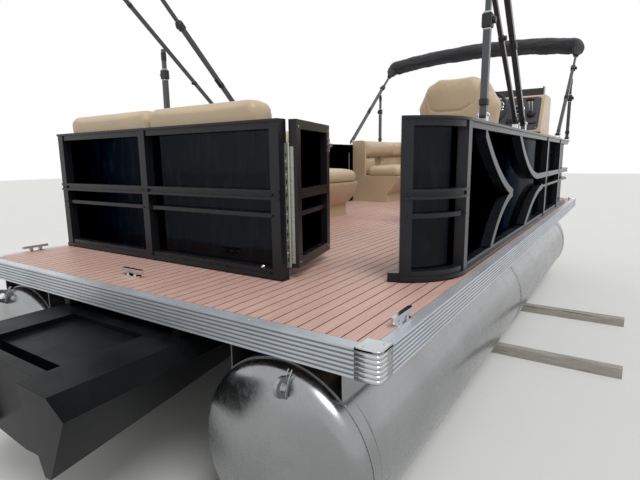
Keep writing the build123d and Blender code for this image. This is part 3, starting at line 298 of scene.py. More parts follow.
TAN = (0.57, 0.44, 0.29)
looks = {name: make(name, *values) for name, make, *values in (
    # name, maker, and what it takes: colour, roughness, then grain scale or specular level
    ("timber", timber_look),
    ("tube_aluminium", aluminium, (0.34, 0.35, 0.36), 0.26, (1, 0.06, 1)),
    ("frame_aluminium", aluminium, (0.36, 0.37, 0.38), 0.35, (0.05, 1, 1)),
    ("trim_aluminium", trim_look),
    ("board", board_look),
    ("planks", planking),
    ("polished_metal", aluminium, (0.62, 0.64, 0.66), 0.1, (1, 1, 1)),
    ("black_paint", painted, (0.004, 0.005, 0.006), 0.3, 0.06),
    ("fence_paint", painted, (0.01, 0.011, 0.014), 0.25, 0.3),
    ("gloss_black", gloss),
    ("zinc", aluminium, (0.42, 0.43, 0.38), 0.36, (1, 1, 0.08)),
    ("moulded_tan", vinyl, shade(0.98, TAN), 0.4),
    ("vinyl_tan", vinyl, TAN),
    ("console_tan", console_look, TAN),
    ("wheel_black", painted, (0.02, 0.02, 0.023), 0.5, 0.3),
    ("top_aluminium", painted, (0.03, 0.032, 0.036), 0.22, 0.6),
    ("top_plastic", painted, (0.016, 0.017, 0.019), 0.4, 0.4),
    ("prop_paint", painted, (0.07, 0.075, 0.085), 0.3, 0.5),
    ("boot_fabric", cloth, (0.016, 0.017, 0.023), 0.2),
    ("dash_grey", painted, (0.05, 0.053, 0.06), 0.45, 0.4),
    ("pale_plastic", painted, (0.65, 0.65, 0.63), 0.4, 0.4),
    ("thread", cloth, (0.35, 0.26, 0.17), 0.35),
)}
for row in frame["record"]["subparts"]:
    mesh = nodes[row["node"]].data
    mesh.materials.clear()
    look = "console_tan" if row["node"] == "console" else row["material_slot"]
    mesh.materials.append(looks[look].mat)


# Meshes
def put(name, mesh, look, body="hull", replaces=()):
    """A finished mesh in the deck frame becomes a piece that rides on a body."""
    mesh.transform(TO_ROW)
    made = bpy.data.objects.new(name, mesh)
    bpy.context.scene.collection.objects.link(made)
    mesh.materials.append(looks[look].mat)
    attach(made, body)
    if replaces:
        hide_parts(*replaces)
    return made


def axes(direction, hint=Z):
    """Two unit vectors square to a direction and to each other."""
    forward = Vector(direction).normalized()
    if abs(forward.dot(hint)) > 0.99:
        hint = X
    side = forward.cross(hint).normalized()
    return side, side.cross(forward)


def turns(count):
    """Angles of a full circle."""
    return [2 * pi * k / count for k in range(count)]


class Kit:
    """Collects small solids in the deck frame into one mesh."""

    def __init__(self):
        self.points, self.faces, self.smooth = [], [], []

    def add(self, points, faces, smooth):
        base = len(self.points)
        self.points.extend(tuple(p) for p in points)
        self.faces.extend(tuple(base + i for i in face) for face in faces)
        self.smooth.extend(smooth)

    def loft(self, rings, closed=False):
        """Skin over rings of points; smooth along the sides, flat at the ends."""
        n = len(rings[0])
        points = [p for ring in rings for p in ring]
        faces = []
        for i in range(len(rings) if closed else len(rings) - 1):
            a, b = i * n, (i + 1) % len(rings) * n
            faces.extend((a + j, a + (j + 1) % n, b + (j + 1) % n, b + j) for j in range(n))
        smooth = [True] * len(faces)
        if not closed:
            faces.extend([range(n - 1, -1, -1), range(len(points) - n, len(points))])
            smooth.extend([False, False])
        self.add(points, faces, smooth)

    def sweep(self, path, outline, closed=False, hint=Z, sizes=None):
        """An outline of (side, up) offsets along a path."""
        path = [Vector(p) for p in path]
        rings = []
        for i, p in enumerate(path):
            before = path[i - 1] if i or closed else p
            after = path[(i + 1) % len(path)] if i + 1 < len(path) or closed else p
            side, up = axes(after - before, hint)
            size = sizes[i] if sizes else 1
            rings.append([p + side * u * size + up * v * size for u, v in outline])
        self.loft(rings, closed)

    def rod(self, a, b, radius, sides=16, chamfer=0.0):
        a, b = Vector(a), Vector(b)
        length = (b - a).length
        c = chamfer or radius * 0.15
        profile = ((0, radius - c), (c, radius), (length - c, radius), (length, radius - c))
        self.turned(a, b - a, profile, sides)

    def turned(self, base, axis, profile, sides=20):
        """Profile of (distance along the axis, radius) turned round the axis."""
        base, forward = Vector(base), Vector(axis).normalized()
        side, up = axes(forward)
        ways = [side * cos(t) + up * sin(t) for t in turns(sides)]
        self.loft([[base + forward * d + way * max(r, 1e-5) for way in ways] for d, r in profile])

    def ring(self, centre, axis, radius, thick, sides, around):
        """Torus."""
        side, up = axes(axis)
        forward = Vector(axis).normalized()
        rings = []
        for turn in turns(sides):
            out = side * cos(turn) + up * sin(turn)
            section = [(thick * cos(t), thick * sin(t)) for t in turns(around)]
            rings.append([centre + out * (radius + u) + forward * v for u, v in section])
        self.loft(rings, closed=True)

    def block(self, centre, size, turn=Matrix.Identity(3), bevel=0.002):
        """Box with chamfered edges; turn is a 3x3 matrix."""
        half = [s / 2 for s in size]
        c = min(bevel, *(h * 0.45 for h in half))
        corners = list(product((-1, 1), repeat=3))
        points, index = [], {}
        for signs in corners:
            for axis in range(3):
                local = [s * (h - (0 if k == axis else c)) for k, (s, h) in enumerate(zip(signs, half))]
                index[signs, axis] = len(points)
                points.append(Vector(centre) + turn @ Vector(local))

        def point(signs, axis):
            return index[(signs[0], signs[1], signs[2]), axis]

        faces = []
        around = ((-1, -1), (1, -1), (1, 1), (-1, 1))
        for axis in range(3):
            a, b = (axis + 1) % 3, (axis + 2) % 3
            for s in (-1, 1):
                faces.append([point({axis: s, a: p, b: q}, axis) for p, q in around])
            for p, q in around:
                edge = ((-1, a), (1, a), (1, b), (-1, b))
                faces.append([point({axis: s, a: p, b: q}, face) for s, face in edge])
        faces.extend([index[signs, axis] for axis in range(3)] for signs in corners)
        self.add(points, faces, [False] * len(faces))

    def screw(self, place, axis, radius=0.004):
        """Pan head on a face."""
        head = ((0, 1), (0.001 + 0.3 * radius, 1), (0.001 + 0.55 * radius, 0.7), (0.001 + 0.6 * radius, 0.2))
        base = Vector(place) - Vector(axis).normalized() * 0.001
        self.turned(base, axis, [(d, radius * r) for d, r in head], 12)

    def bead(self, path, radius, closed=False, ripple=0.004):
        """Weld bead with a ripple every few millimetres."""
        path = [Vector(p) for p in path]
        dense = []
        for a, b in zip(path, path[1:] + (path[:1] if closed else [])):
            steps = max(1, ceil((b - a).length / ripple))
            dense.extend(a.lerp(b, k / steps) for k in range(steps))
        if not closed:
            dense.append(path[-1])
        elif len(dense) % 2:
            dense.pop()
        sizes = [1.0 if k % 2 else 0.72 for k in range(len(dense))]
        self.sweep(dense, [(radius * cos(t), radius * sin(t)) for t in turns(6)], closed, sizes=sizes)

    def mesh(self, name):
        mesh = bpy.data.meshes.new(name)
        mesh.from_pydata(self.points, [], self.faces)
        mesh.polygons.foreach_set("use_smooth", self.smooth)
        work = bmesh.new()
        work.from_mesh(mesh)
        bmesh.ops.recalc_face_normals(work, faces=work.faces)
        work.to_mesh(mesh)
        work.free()
        return mesh

    def done(self, name, look, body="hull", slot=None, replaces=()):
        return put(name, self.mesh(name), look, body, replaces)


# Soft goods
STEP = 0.03  # spacing of the points round a cushion
# A cushion to be stuffed: lines are its seams as (points, depth, width), walls are (axis, sign, limit) that it
# stops at, quilt is a stitched field's (x0, x1, y0, y1, pitch), rounding the bow corner's (x, y, radius)
Pad = namedtuple("Pad", "piece place voxel travel lines walls quilt rounding",
                 defaults=(0.016, 0.014, (), (), None, None))
pads = []


def outline(corners, radius, pull=0.0):
    """Rounded loop through the corners, anticlockwise, its straight sides drawn in at their middles."""
    corners = [Vector(c) for c in corners]
    arcs = []
    for before, here, after in zip(corners[-1:] + corners[:-1], corners, corners[1:] + corners[:1]):
        a, b = (before - here).normalized(), (after - here).normalized()
        half = acos(max(-1.0, min(1.0, a.dot(b)))) / 2
        centre = here + (a + b).normalized() * radius / sin(half)
        start, end = (here + way * radius / tan(half) - centre for way in (a, b))
        steps = max(3, ceil(radius * (pi - 2 * half) / (0.5 * STEP)))
        arcs.append([centre + start.slerp(end, k / steps).normalized() * radius for k in range(steps + 1)])
    loop = []
    for arc, following in zip(arcs, arcs[1:] + arcs[:1]):
        loop.extend(arc)
        run = following[0] - arc[-1]
        steps = max(1, round(run.length / STEP))
        inward = Vector((-run.y, run.x)).normalized() * pull * min(1.0, run.length / 0.4)
        for k in range(1, steps):
            t = k / steps
            loop.append(arc[-1] + run * t + inward * 4 * t * (1 - t))
    return loop


def pad_mesh(name, corners, thick, radius, top, low, crown, pull):
    """Closed cushion over a plan: rounded rims, sides drawn in, crowned top."""
    loop = outline(corners, radius, pull)
    n = len(loop)
    inward = []
    for i in range(n):
        run = loop[(i + 1) % n] - loop[i - 1]
        inward.append(Vector((-run.y, run.x)).normalized())
    levels = [(low * (1 - sin(k * pi / 6)), low * (1 - cos(k * pi / 6))) for k in range(4)]
    levels.append((-0.003, (low + thick - top) / 2))
    levels.extend((top * (1 - cos(k * pi / 8)), thick - top * (1 - sin(k * pi / 8))) for k in range(5))
    centre = sum(loop, Vector((0, 0))) / n
    rings = [[Vector((*(p + d * inset), z)) for p, d in zip(loop, inward)] for inset, z in levels]
    rim = rings[-1]
    count = max(4, round(max((p.xy - centre).length for p in rim) / STEP / 1.5))
    hub = centre.to_3d()
    bottoms = [[hub.lerp(p, share) for p in rings[0]] for share in (0.02, 0.5)]
    tops = []
    for k in range(count - 1, -1, -1):
        share = max(0.02, k / count)
        height = Vector((0, 0, thick + crown * (1 - share**2.5)))
        tops.append([hub.lerp(p.xy.to_3d(), share) + height for p in rim])
    kit = Kit()
    kit.loft(bottoms + rings + tops)
    kit.smooth = [True] * len(kit.smooth)
    return kit.mesh(name)


def keep_pad(name, mesh, place, body="hull", replaces=(), **options):
    piece = put(name, mesh, "vinyl_tan", body, replaces=replaces)
    pads.append(Pad(piece, TO_ROW @ place, **options))


def pad(name, corners, thick, place, body="hull", radius=0.05, top=0.045, low=0.02, crown=0.012, pull=0.008,
        bend=None, **options):
    """A cushion over a plan; place takes its plan to the deck frame."""
    mesh = pad_mesh(name, corners, thick, radius, top, low, crown, pull)
    if bend:
        for vertex in mesh.vertices:
            vertex.co = bend(vertex.co)
    mesh.transform(place)
    keep_pad(name, mesh, place, body, **options)


def columns(*ways):
    return Matrix(ways).transposed()


def upright(origin, across):
    """Plan x runs across, plan y up, and the cushion's top faces their cross product."""
    across = Vector(across)
    return Matrix.Translation(origin) @ columns(across, Z, across.cross(Z)).to_4x4()


def rectangle(x0, x1, y0, y1):
    return ((x0, y0), (x1, y0), (x1, y1), (x0, y1))


def bake(piece):
    """Turns the piece's modifiers into its mesh."""
    graph = bpy.context.evaluated_depsgraph_get()
    mesh = bpy.data.meshes.new_from_object(piece.evaluated_get(graph))
    piece.modifiers.clear()
    piece.data = mesh
    return mesh


def vectors(collection, key):
    """One vector property of all vertices or normals as rows."""
    values = np.empty(len(collection) * 3)
    collection.foreach_get(key, values)
    return values.reshape(-1, 3)


def write_positions(mesh, points):
    mesh.vertices.foreach_set("co", points.ravel())
    mesh.update()


def distance_to(points, line):
    """Distance from 2D points to a run of straight lines."""
    best = np.full(len(points), 1e9)
    for a, b in zip(np.array(line[:-1]), np.array(line[1:])):
        run = b - a
        t = np.clip(((points - a) @ run) / (run @ run), 0, 1)
        best = np.minimum(best, np.linalg.norm(points - (a + t[:, None] * run), axis=1))
    return best


def valley(distance, depth, width):
    """Depth of a soft groove at a distance from its line."""
    return depth * np.exp(-(distance / width) ** 2)


def stuff():
    """Cloth pressure on every pad, capped, then one subdivision, seams, quilting and the planes it rests on."""
    for p in pads:
        remesh = p.piece.modifiers.new("remesh", "REMESH")
        remesh.mode = "VOXEL"
        remesh.voxel_size = p.voxel
        remesh.use_smooth_shade = True
    bpy.context.view_layer.update()
    for p in pads:
        bake(p.piece)
    rests = [vectors(p.piece.data.vertices, "co") for p in pads]
    for p in pads:
        stuffing = p.piece.modifiers.new("stuffing", "CLOTH").settings
        stuffing.quality = 4
        stuffing.mass = 0.3
        stuffing.bending_stiffness = 0.4
        stuffing.use_pressure = True
        stuffing.uniform_pressure_force = 4
        stuffing.effector_weights.gravity = 0
    for number in range(1, 21):
        bpy.context.scene.frame_set(number)
    for p, rest in zip(pads, rests):
        mesh = bake(p.piece)
        moved = vectors(mesh.vertices, "co") - rest
        size = np.linalg.norm(moved, axis=1, keepdims=True)
        moved *= p.travel * np.tanh(size / p.travel) / np.maximum(size, 1e-9)
        write_positions(mesh, rest + moved)
    bpy.context.scene.frame_set(1)
    for p in pads:
        p.piece.modifiers.new("finer", "SUBSURF").levels = 1
    bpy.context.view_layer.update()
    for p in pads:
        finish_pad(p)


def quilting(x, y, field):
    """Depth of the crossed stitch lines and of the frame round them."""
    x0, x1, y0, y1, pitch = field
    margins = np.stack([x - x0, x1 - x, y - y0, y1 - y])
    inside = np.clip(margins.min(axis=0) / 0.01, 0, 1)
    sink = np.zeros(len(x))
    for lean in (1, -1):
        phase = (x / pitch + lean * y / pitch) % 1.0
        sink = np.maximum(sink, inside * valley(np.minimum(phase, 1 - phase) * pitch, 0.006, 0.009))
    near = margins.min(axis=0) > -0.02
    return np.maximum(sink, near * valley(abs(margins).min(axis=0), 0.006, 0.008))


def finish_pad(p):
    mesh = bake(p.piece)
    mesh.polygons.foreach_set("use_smooth", [True] * len(mesh.polygons))
    to_row, to_plan = np.array(p.place), np.array(p.place.inverted())
    plan = vectors(mesh.vertices, "co") @ to_plan[:3, :3].T + to_plan[:3, 3]
    normals = vectors(mesh.vertex_normals, "vector") @ to_plan[:3, :3].T
    top = np.clip(normals[:, 2] * 2.0, 0, 1)
    sink = np.zeros(len(plan))
    for line, depth, width in p.lines:
        sink = np.maximum(sink, valley(distance_to(plan[:, :2], line), depth, width))
    if p.quilt:
        sink = np.maximum(sink, quilting(plan[:, 0], plan[:, 1], p.quilt))
    plan -= normals * (sink * top)[:, None]
    points = plan @ to_row[:3, :3].T + to_row[:3, 3]
    offset = TO_ROW.translation
    for axis, sign, limit in p.walls:
        stop = np.minimum if sign > 0 else np.maximum
        points[:, axis] = stop(points[:, axis], limit + offset[axis])
    if p.rounding:
        cx, cy, limit = p.rounding
        cy += offset.y
        out = np.stack([np.abs(points[:, 0]) - cx, points[:, 1] - cy], 1)
        reach = np.linalg.norm(out, axis=1)
        beyond = (out.min(axis=1) > 0) & (reach > limit)
        out[beyond] *= (limit / reach[beyond])[:, None]
        points[beyond, 0] = np.sign(points[beyond, 0]) * (cx + out[beyond, 0])
        points[beyond, 1] = cy + out[beyond, 1]
        points[:, 0] = np.clip(points[:, 0], -cx - limit, cx + limit)
    write_positions(mesh, points)


# Lounge seats, each over its locker lid
SEAT_LOW, SEAT_THICK = 0.3205, 0.104
AFT, FORE, PORT, STARBOARD, DOWN = (1, -1), (1, 1), (0, -1), (0, 1), (2, -1)
port_edge, starboard_edge, sofa_end = (*PORT, -0.964), (*STARBOARD, 0.964), (*FORE, 4.985)
lid_floor, stern_edge = (*DOWN, SEAT_LOW), (*AFT, 0.693)
for name, node, body, plan, walls in (
    ("aft_cushion", "aft_seat", "aft_lid",
     ((-0.314, 0.701), (0.352, 0.701), (0.078, 1.528), (-0.314, 1.528)), ((*PORT, -0.3215), stern_edge)),
    ("corner_cushion", "corner_seat", "hull",
     rectangle(-0.956, -0.331, 0.701, 1.528), ((*STARBOARD, -0.3235), (*FORE, 1.5355), stern_edge, port_edge)),
    ("bench_cushion", "port_bench_seat", "bench_lid",
     rectangle(-0.956, -0.331, 1.546, 2.765), ((*AFT, 1.5385), port_edge, (*FORE, 2.776))),
    ("port_sofa_cushion", "port_sofa_seat", "port_sofa_lid",
     rectangle(-0.956, -0.515, 4.1, 4.98), (port_edge, sofa_end, (*AFT, 4.092))),
    ("starboard_sofa_cushion", "starboard_sofa_seat", "starboard_sofa_lid",
     rectangle(0.515, 0.956, 3.755, 4.98), (starboard_edge, sofa_end, (*AFT, 3.746))),
):
    place = Matrix.Translation((0, 0, SEAT_LOW))
    pad(name, plan, SEAT_THICK, place, body, replaces=(node,), walls=(lid_floor, *walls))

# Backrests of the lounge: a bolster over a quilted lower back
BACK_DEEP, SHELF_DEEP, BACK_LOW, BOLSTER_LOW, BACK_HIGH = 0.168, 0.12, 0.322, 0.605, 0.804
stern_wall, port_wall, shelf_wall, bow_wall = (*AFT, 0.5192), (*PORT, -1.1358), (*DOWN, 0.3205), (*FORE, 5.1605)


def backrest(name, start, across, length, walls, replaces=(), splits=()):
    """Start is the wall's foot at one end, across runs along it, to the sitter's left."""
    place = upright((*start, 0), (*across, 0))
    walls = (*walls, shelf_wall)
    quilt = (0.045, length - 0.045, BACK_LOW + 0.13, BOLSTER_LOW - 0.03, 0.075)
    pad(name + "_lower", rectangle(0.004, length - 0.004, BACK_LOW, BOLSTER_LOW + 0.03), SHELF_DEEP - 0.004, place,
        radius=0.03, top=0.04, low=0.008, pull=0.004, travel=0.01, quilt=quilt, walls=walls, voxel=0.014)
    lines = [(((s, BOLSTER_LOW - 0.02), (s, BACK_HIGH + 0.02)), 0.007, 0.009) for s in splits]
    lines.append((((0.02, BACK_HIGH - 0.055), (length - 0.02, BACK_HIGH - 0.055)), 0.004, 0.008))
    pad(name + "_bolster", rectangle(0.004, length - 0.004, BOLSTER_LOW + 0.004, BACK_HIGH - 0.006),
        BACK_DEEP - 0.006, place, top=0.055, low=0.012, crown=0.01, pull=0.003, travel=0.012,
        lines=lines, walls=walls, replaces=replaces, voxel=0.015)


backrest("stern_back", (0.373, 0.52), (-1, 0), 0.756, (stern_wall,), ("aft_lounge_back",), (0.172,))
backrest("corner_back", (-0.386, 0.52), (-1, 0), 0.748, (stern_wall, port_wall))
backrest("bench_back_aft", (-1.135, 0.693), (0, 1), 1.036, (port_wall,))
backrest("bench_back_fore", (-1.135, 1.732), (0, 1), 1.036, (port_wall,))

# Sofas: bolster and quilted lower back turn the bow corner; a small pillow stands at the end panel
SOFA_LOW, SOFA_HIGH, ROUNDING = 0.55, 0.75, (0.875, 4.9, 0.2605)


def swept_pad(name, path, ways, deep, low, high, place, radius, **options):
    """A cushion that follows a wall line; ways point off the wall at each point of the path."""
    section = outline(rectangle(0, deep, low, high), radius)
    middle = Vector((deep / 2, (low + high) / 2))
    half = (deep / 2, (high - low) / 2)
    along = [0.0]
    for a, b in zip(path, path[1:]):
        along.append(along[-1] + (Vector(b) - Vector(a)).length)
    rings = []
    for p, way, d in zip(path, ways, along):
        left = min(d, along[-1] - d)
        inset = radius - sqrt(max(0.0, radius**2 - max(0.0, radius - left - 0.001) ** 2))
        ring = []
        for q in section:
            off, up = (m + (c - m) * (1 - inset / h) for c, m, h in zip(q, middle, half))
            ring.append((p[0] + way[0] * off, p[1] + way[1] * off, up))
        rings.append(ring)
    kit = Kit()
    kit.loft(rings)
    keep_pad(name, kit.mesh(name), place, rounding=ROUNDING, **options)


def wall_path(side, start, end):
    """Path along a side of the boat, round its bow corner and back inboard to end, with the ways off the wall."""
    cx, cy, r = ROUNDING
    r -= 0.0015  # clear of the wall
    near = [0.0, 0.004, 0.012, 0.025, 0.045]
    run = cy - start
    steps = ceil(run / 0.04)
    places = [start + d for d in near] + [start + 0.05 + (run - 0.05) * k / steps for k in range(steps)]
    path = [(side * (cx + r), y) for y in places]
    ways = [(-side, 0)] * len(places)
    for k in range(13):
        turn = k / 12 * pi / 2
        path.append((side * (cx + r * cos(turn)), cy + r * sin(turn)))
        ways.append((-side * cos(turn), -sin(turn)))
    run = cx - end
    steps = ceil(run / 0.04)
    places = [cx - (run - 0.05) * k / steps for k in range(1, steps + 1)] + [end + d for d in reversed(near)]
    path.extend((side * x, cy + r) for x in places)
    ways.extend([(0, -1)] * len(places))
    return path, ways


for side, name, start in ((-1, "port_sofa", 4.127), (1, "starboard_sofa", 3.782)):
    facing = upright((side * 1.135, 0, 0), (0, -side, 0))
    swept_pad(name + "_bolster", *wall_path(side, start, 0.618), BACK_DEEP - 0.004, SOFA_LOW + 0.002,
              SOFA_HIGH - 0.004, facing, 0.055, travel=0.01, voxel=0.015, walls=(bow_wall,),
              replaces=(name + "_back",))
    quilt = (*sorted((-side * (start + 0.59), -side * 4.88)), 0.44, 0.53, 0.06)
    swept_pad(name + "_lower", *wall_path(side, start + 0.553, 0.625), 0.114, BACK_LOW, SOFA_LOW + 0.025, facing,
              0.04, travel=0.008, voxel=0.014, walls=(shelf_wall, bow_wall), quilt=quilt)
    pillow = sorted((-side * (start + 0.006), -side * (start + 0.365)))
    pad(name + "_pillow", rectangle(*pillow, 0.324, SOFA_LOW + 0.012), 0.122, facing, radius=0.045,
        top=0.04, low=0.01, crown=0.01, pull=0.006, travel=0.01, voxel=0.013,
        walls=(shelf_wall, (0, side, side * 1.1358)))
    shell = Kit()
    shell.block((side * 1.1, start + 0.35, 0.437), (0.066, 0.7, 0.232), bevel=0.004)
    shell.done(name + "_shell", "moulded_tan")

# Helm chair: a wrapped back with a pad seam on its rear face, and a bucket seat
CHAIR_X = 0.69


def wrapped(point):
    return Vector((point.x, point.y, point.z - 0.075 * (abs(point.x) / 0.31) ** 2.5))


chair_outline = ((-0.285, 0.527), (0.285, 0.527), (0.303, 0.91), (0.226, 1.055), (0.13, 1.1), (-0.13, 1.1),
                 (-0.226, 1.055), (-0.303, 0.91))
pocket = ((-0.2, 0.97), (-0.175, 0.885), (-0.12, 0.857), (0.06, 0.857), (0.13, 0.9), (0.165, 1.0), (0.17, 1.07))
wing = ((0.175, 1.07), (0.235, 0.98), (0.175, 0.53))
other_wing = ((-0.24, 0.97), (-0.215, 0.9), (-0.2, 0.53))
pad("chair_back_pad", chair_outline, 0.124, upright((CHAIR_X, 2.437, 0), X), "helm_chair", radius=0.06, top=0.04,
    low=0.035, travel=0.01, voxel=0.014, bend=wrapped, replaces=("chair_back",),
    lines=((pocket, 0.005, 0.007), (wing, 0.006, 0.008), (other_wing, 0.006, 0.008)), walls=((*DOWN, 0.523),))
rim = ((-0.19, -0.25), (-0.17, 0.17), (0.17, 0.17), (0.19, -0.25))
pad("chair_seat_pad", rectangle(-0.275, 0.275, -0.245, 0.245), 0.124, Matrix.Translation((CHAIR_X, 2.56, 0.391)),
    "helm_chair", radius=0.09, top=0.05, crown=0.008, travel=0.012, voxel=0.014, replaces=("chair_seat",),
    lines=((rim, 0.006, 0.009),), walls=((*DOWN, 0.3905), (2, 1, 0.5205)))

# Boots of the folding tops: a canvas sleeve round each roll, gathered onto the legs
FENCE_X, PIVOT_Z, PROP_Z, LEG = 1.165, 0.745, 0.732, 1.6
TOPS = (
    # name, pivot y, slope, lean, prop y, height of the prop's upper clamp, lower arm (y, slope)
    ("aft", 2.3, radians(43.7), -1, 1.29, 1.342, (2.055, radians(39.4))),
    ("fore", 4.11, radians(40.5), 1, 4.91, 1.39, None),
)


def boot(name, pivot, slope, lean):
    """The sleeve follows the bowed roll between the ends of the legs and turns down onto both legs."""
    end = Vector((FENCE_X, pivot + lean * LEG * cos(slope), PIVOT_Z + LEG * sin(slope)))
    crown, radius, around = 0.095, 0.093, 56
    down = Vector((0, -lean * cos(slope), -sin(slope)))
    knots = [(end + down * d, s) for d, s in ((0.2, 0.26), (0.15, 0.34), (0.1, 0.58), (0.05, 0.86))]
    for k in range(41):
        x = 1.13 - 1.13 * 2 * k / 40
        knots.append((Vector((x, end.y, end.z + crown * (1 - (x / 1.2) ** 2) + 0.004)), 1.0))
    knots.extend((Vector((-p.x, p.y, p.z)), s) for p, s in reversed(knots[:4]))
    line = [knots[0], *knots, knots[-1]]
    path, sizes = [], []
    for before, a, b, after in zip(line, line[1:], line[2:], line[3:]):
        steps = ceil((b[0] - a[0]).length / 0.012)
        for k in range(steps):
            t = k / steps
            weights = (-0.5 * t + t * t - 0.5 * t**3, 1 - 2.5 * t * t + 1.5 * t**3,
                       0.5 * t + 2 * t * t - 1.5 * t**3, 0.5 * t**3 - 0.5 * t * t)
            path.append(sum((w * q[0] for w, q in zip(weights, (before, a, b, after))), Vector()))
            sizes.append(a[1] + (b[1] - a[1]) * t)
    path.append(knots[-1][0])
    sizes.append(knots[-1][1])
    rings, run = [], 0.0
    ahead = -lean * Y
    for i, p in enumerate(path):
        run += (p - path[i - 1]).length if i else 0
        tangent = (path[min(i + 1, len(path) - 1)] - path[max(i - 1, 0)]).normalized()
        side = (ahead - tangent * ahead.dot(tangent)).normalized()
        over = tangent.cross(side)
        if over.z < 0 and abs(tangent.x) > 0.5:
            over = -over
        gathered = 1 - min(1.0, (sizes[i] - 0.26) / 0.74)
        ring = []
        for turn in turns(around):
            spot = Vector((run * 5.5 + 0.6 * sin(turn), 1.3 * cos(turn), 1.3 * sin(turn)))
            folds = noise.noise(spot) * 0.1 + (0.5 - abs(noise.noise(spot * 2.3 + Vector((7, 3, 1))))) * 0.11
            fine = noise.noise(Vector((run * 32, 3 * cos(turn), 3 * sin(turn)))) * 0.022
            pleats = gathered * 0.16 * cos(11 * turn + 2.5 * noise.noise(Vector((run * 6, 0, 4))))
            swell = 0.13 + 0.12 * noise.noise(Vector((run * 7, 9, 2)))
            hem = exp(-((sin((turn + pi / 2) / 2)) / 0.16) ** 2) * swell
            size = radius * sizes[i] * (0.93 + folds + fine + pleats + hem * (1 - gathered))
            squat = 1.0 - 0.06 * (1 - gathered) * abs(sin(turn))
            ring.append(p + side * size * cos(turn) + over * size * sin(turn) * squat)
        rings.append(ring)
    kit = Kit()
    kit.loft(rings)
    made = kit.done(name + "_boot", "boot_fabric", name + "_top", replaces=(name + "_top_roll",))
    seam = Kit()
    cord = [(0.0035 * cos(t), 0.0035 * sin(t)) for t in (0, 1.57, 3.14, 4.71)]
    seam.sweep([ring[round(around * 0.75)] for ring in rings[6:-6:2]], cord)
    seam.done(name + "_boot_zip", "boot_fabric", name + "_top")


for name, pivot, slope, lean, *_ in TOPS:
    boot(name, pivot, slope, lean)
stuff()


# Tubes: pressed stern ends, raised bands and raised noses, in smooth form
TUBE_X, TUBE_Z, TUBE_R, BAND_R, SPLICE_R = 0.87, -0.472, 0.345, 0.3462, 0.3456
NOSE = ((4.89, 1.0), (5.114, 0.93), (5.338, 0.66), (5.485, 0.33), (5.53, 0.16))


def dome_profile():
    """(distance from the stern edge, radius) from the tip of the pressed end to the tube's wall."""
    knuckle, deep, face = 0.07, 0.12, 0.044
    reach = TUBE_R - knuckle
    crown = (reach**2 + deep**2 - knuckle**2) / (2 * (deep - knuckle))
    turn = atan2(crown - deep, reach)
    joint = reach + knuckle * cos(turn)
    middle = face - deep + crown
    profile = []
    for k in range(25):
        r = joint * (k / 24) ** 0.8
        profile.append((middle - sqrt(crown**2 - r**2), r))
    for k in range(1, 13):
        angle = turn * (1 - k / 12)
        profile.append((face - knuckle * sin(angle), reach + knuckle * cos(angle)))
    return profile


def wall_profile():
    """(distance from the stern edge, radius) along the wall, with its two raised bands."""
    plain = [0.05, 0.0985, 0.104, 2.34, 2.346, 2.41, 2.416, 4.87]
    plain += [0.2 + 0.0965 * k for k in range(22)] + [2.5 + 0.0965 * k for k in range(25)]
    profile = [(y, TUBE_R) for y in plain]
    profile += [(y, BAND_R) for y in (0.0505, 0.054, 0.094, 0.098)]
    profile += [(y, SPLICE_R) for y in (2.3465, 2.35, 2.406, 2.4095)]
    return sorted(profile)


def nose_share(y):
    """Radius of the nose at y as a share of the tube's, on a smooth line through its sections."""
    places, shares = np.array(NOSE).T
    slopes = np.gradient(shares, places)
    slopes[0] = 0
    k = int(np.clip(np.searchsorted(places, y), 1, len(NOSE) - 1))
    step = places[k] - places[k - 1]
    t = (y - places[k - 1]) / step
    start = shares[k - 1] * (1 + 2 * t) + slopes[k - 1] * step * t
    end = shares[k] * (3 - 2 * t) - slopes[k] * step * (1 - t)
    return float(start * (1 - t) ** 2 + end * t**2)


def circle(side, y, r, z, count=96):
    return [(side * TUBE_X + r * cos(t), y, z + r * sin(t)) for t in turns(count)]


for side, name in ((-1, "port"), (1, "starboard")):
    tube = Kit()
    rings = [circle(side, y, max(r, 0.001), TUBE_Z) for y, r in dome_profile() + wall_profile()]
    for k in range(1, 31):
        y = 4.89 + 0.64 * (k / 30) ** 0.85
        r = TUBE_R * nose_share(y)
        rings.append(circle(side, y, r, TUBE_Z + TUBE_R - r))
    tube.loft(rings)
    tube.done("tube_" + name, "tube_aluminium", replaces=("pontoon_" + name,))
    welds = Kit()
    for y in (0.0485, 2.352, 4.885):
        welds.bead(circle(side, y, BAND_R, TUBE_Z, 160), 0.003, closed=True, ripple=0.008)
    for edge in (-0.23, 0.23):
        x, z = side * TUBE_X + edge, TUBE_Z + sqrt(TUBE_R**2 - edge**2)
        welds.bead([(x, 0.05, z), (x, 4.85, z)], 0.0035, ripple=0.03)
    for off in (-0.007, 0.007):
        x = side * (TUBE_X + 0.068) + off
        eye = ((0.0, -0.123), (-0.022, -0.15), (-0.034, -0.18), (-0.04, -0.2))
        welds.bead([(x, y, z) for y, z in eye], 0.003)
    welds.done("tube_welds_" + name, "frame_aluminium")
    plug = Kit()
    for y, profile in ((-0.069, ((0, 0.02), (0.006, 0.02), (0.008, 0.017))),
                       (-0.076, ((0, 0.01), (0.004, 0.01), (0.005, 0.007)))):
        plug.turned((side * TUBE_X, y, TUBE_Z - 0.15), -Y, profile, 6)
    plug.done("drain_plug_" + name, "polished_metal")

# Caps on the deck's corners and the screws of deck, trim and fence
FENCE_Y, FENCE_SKIN = 0.49, 0.0312
CAP_RUN, CAP_ROUND = 0.082, 0.022


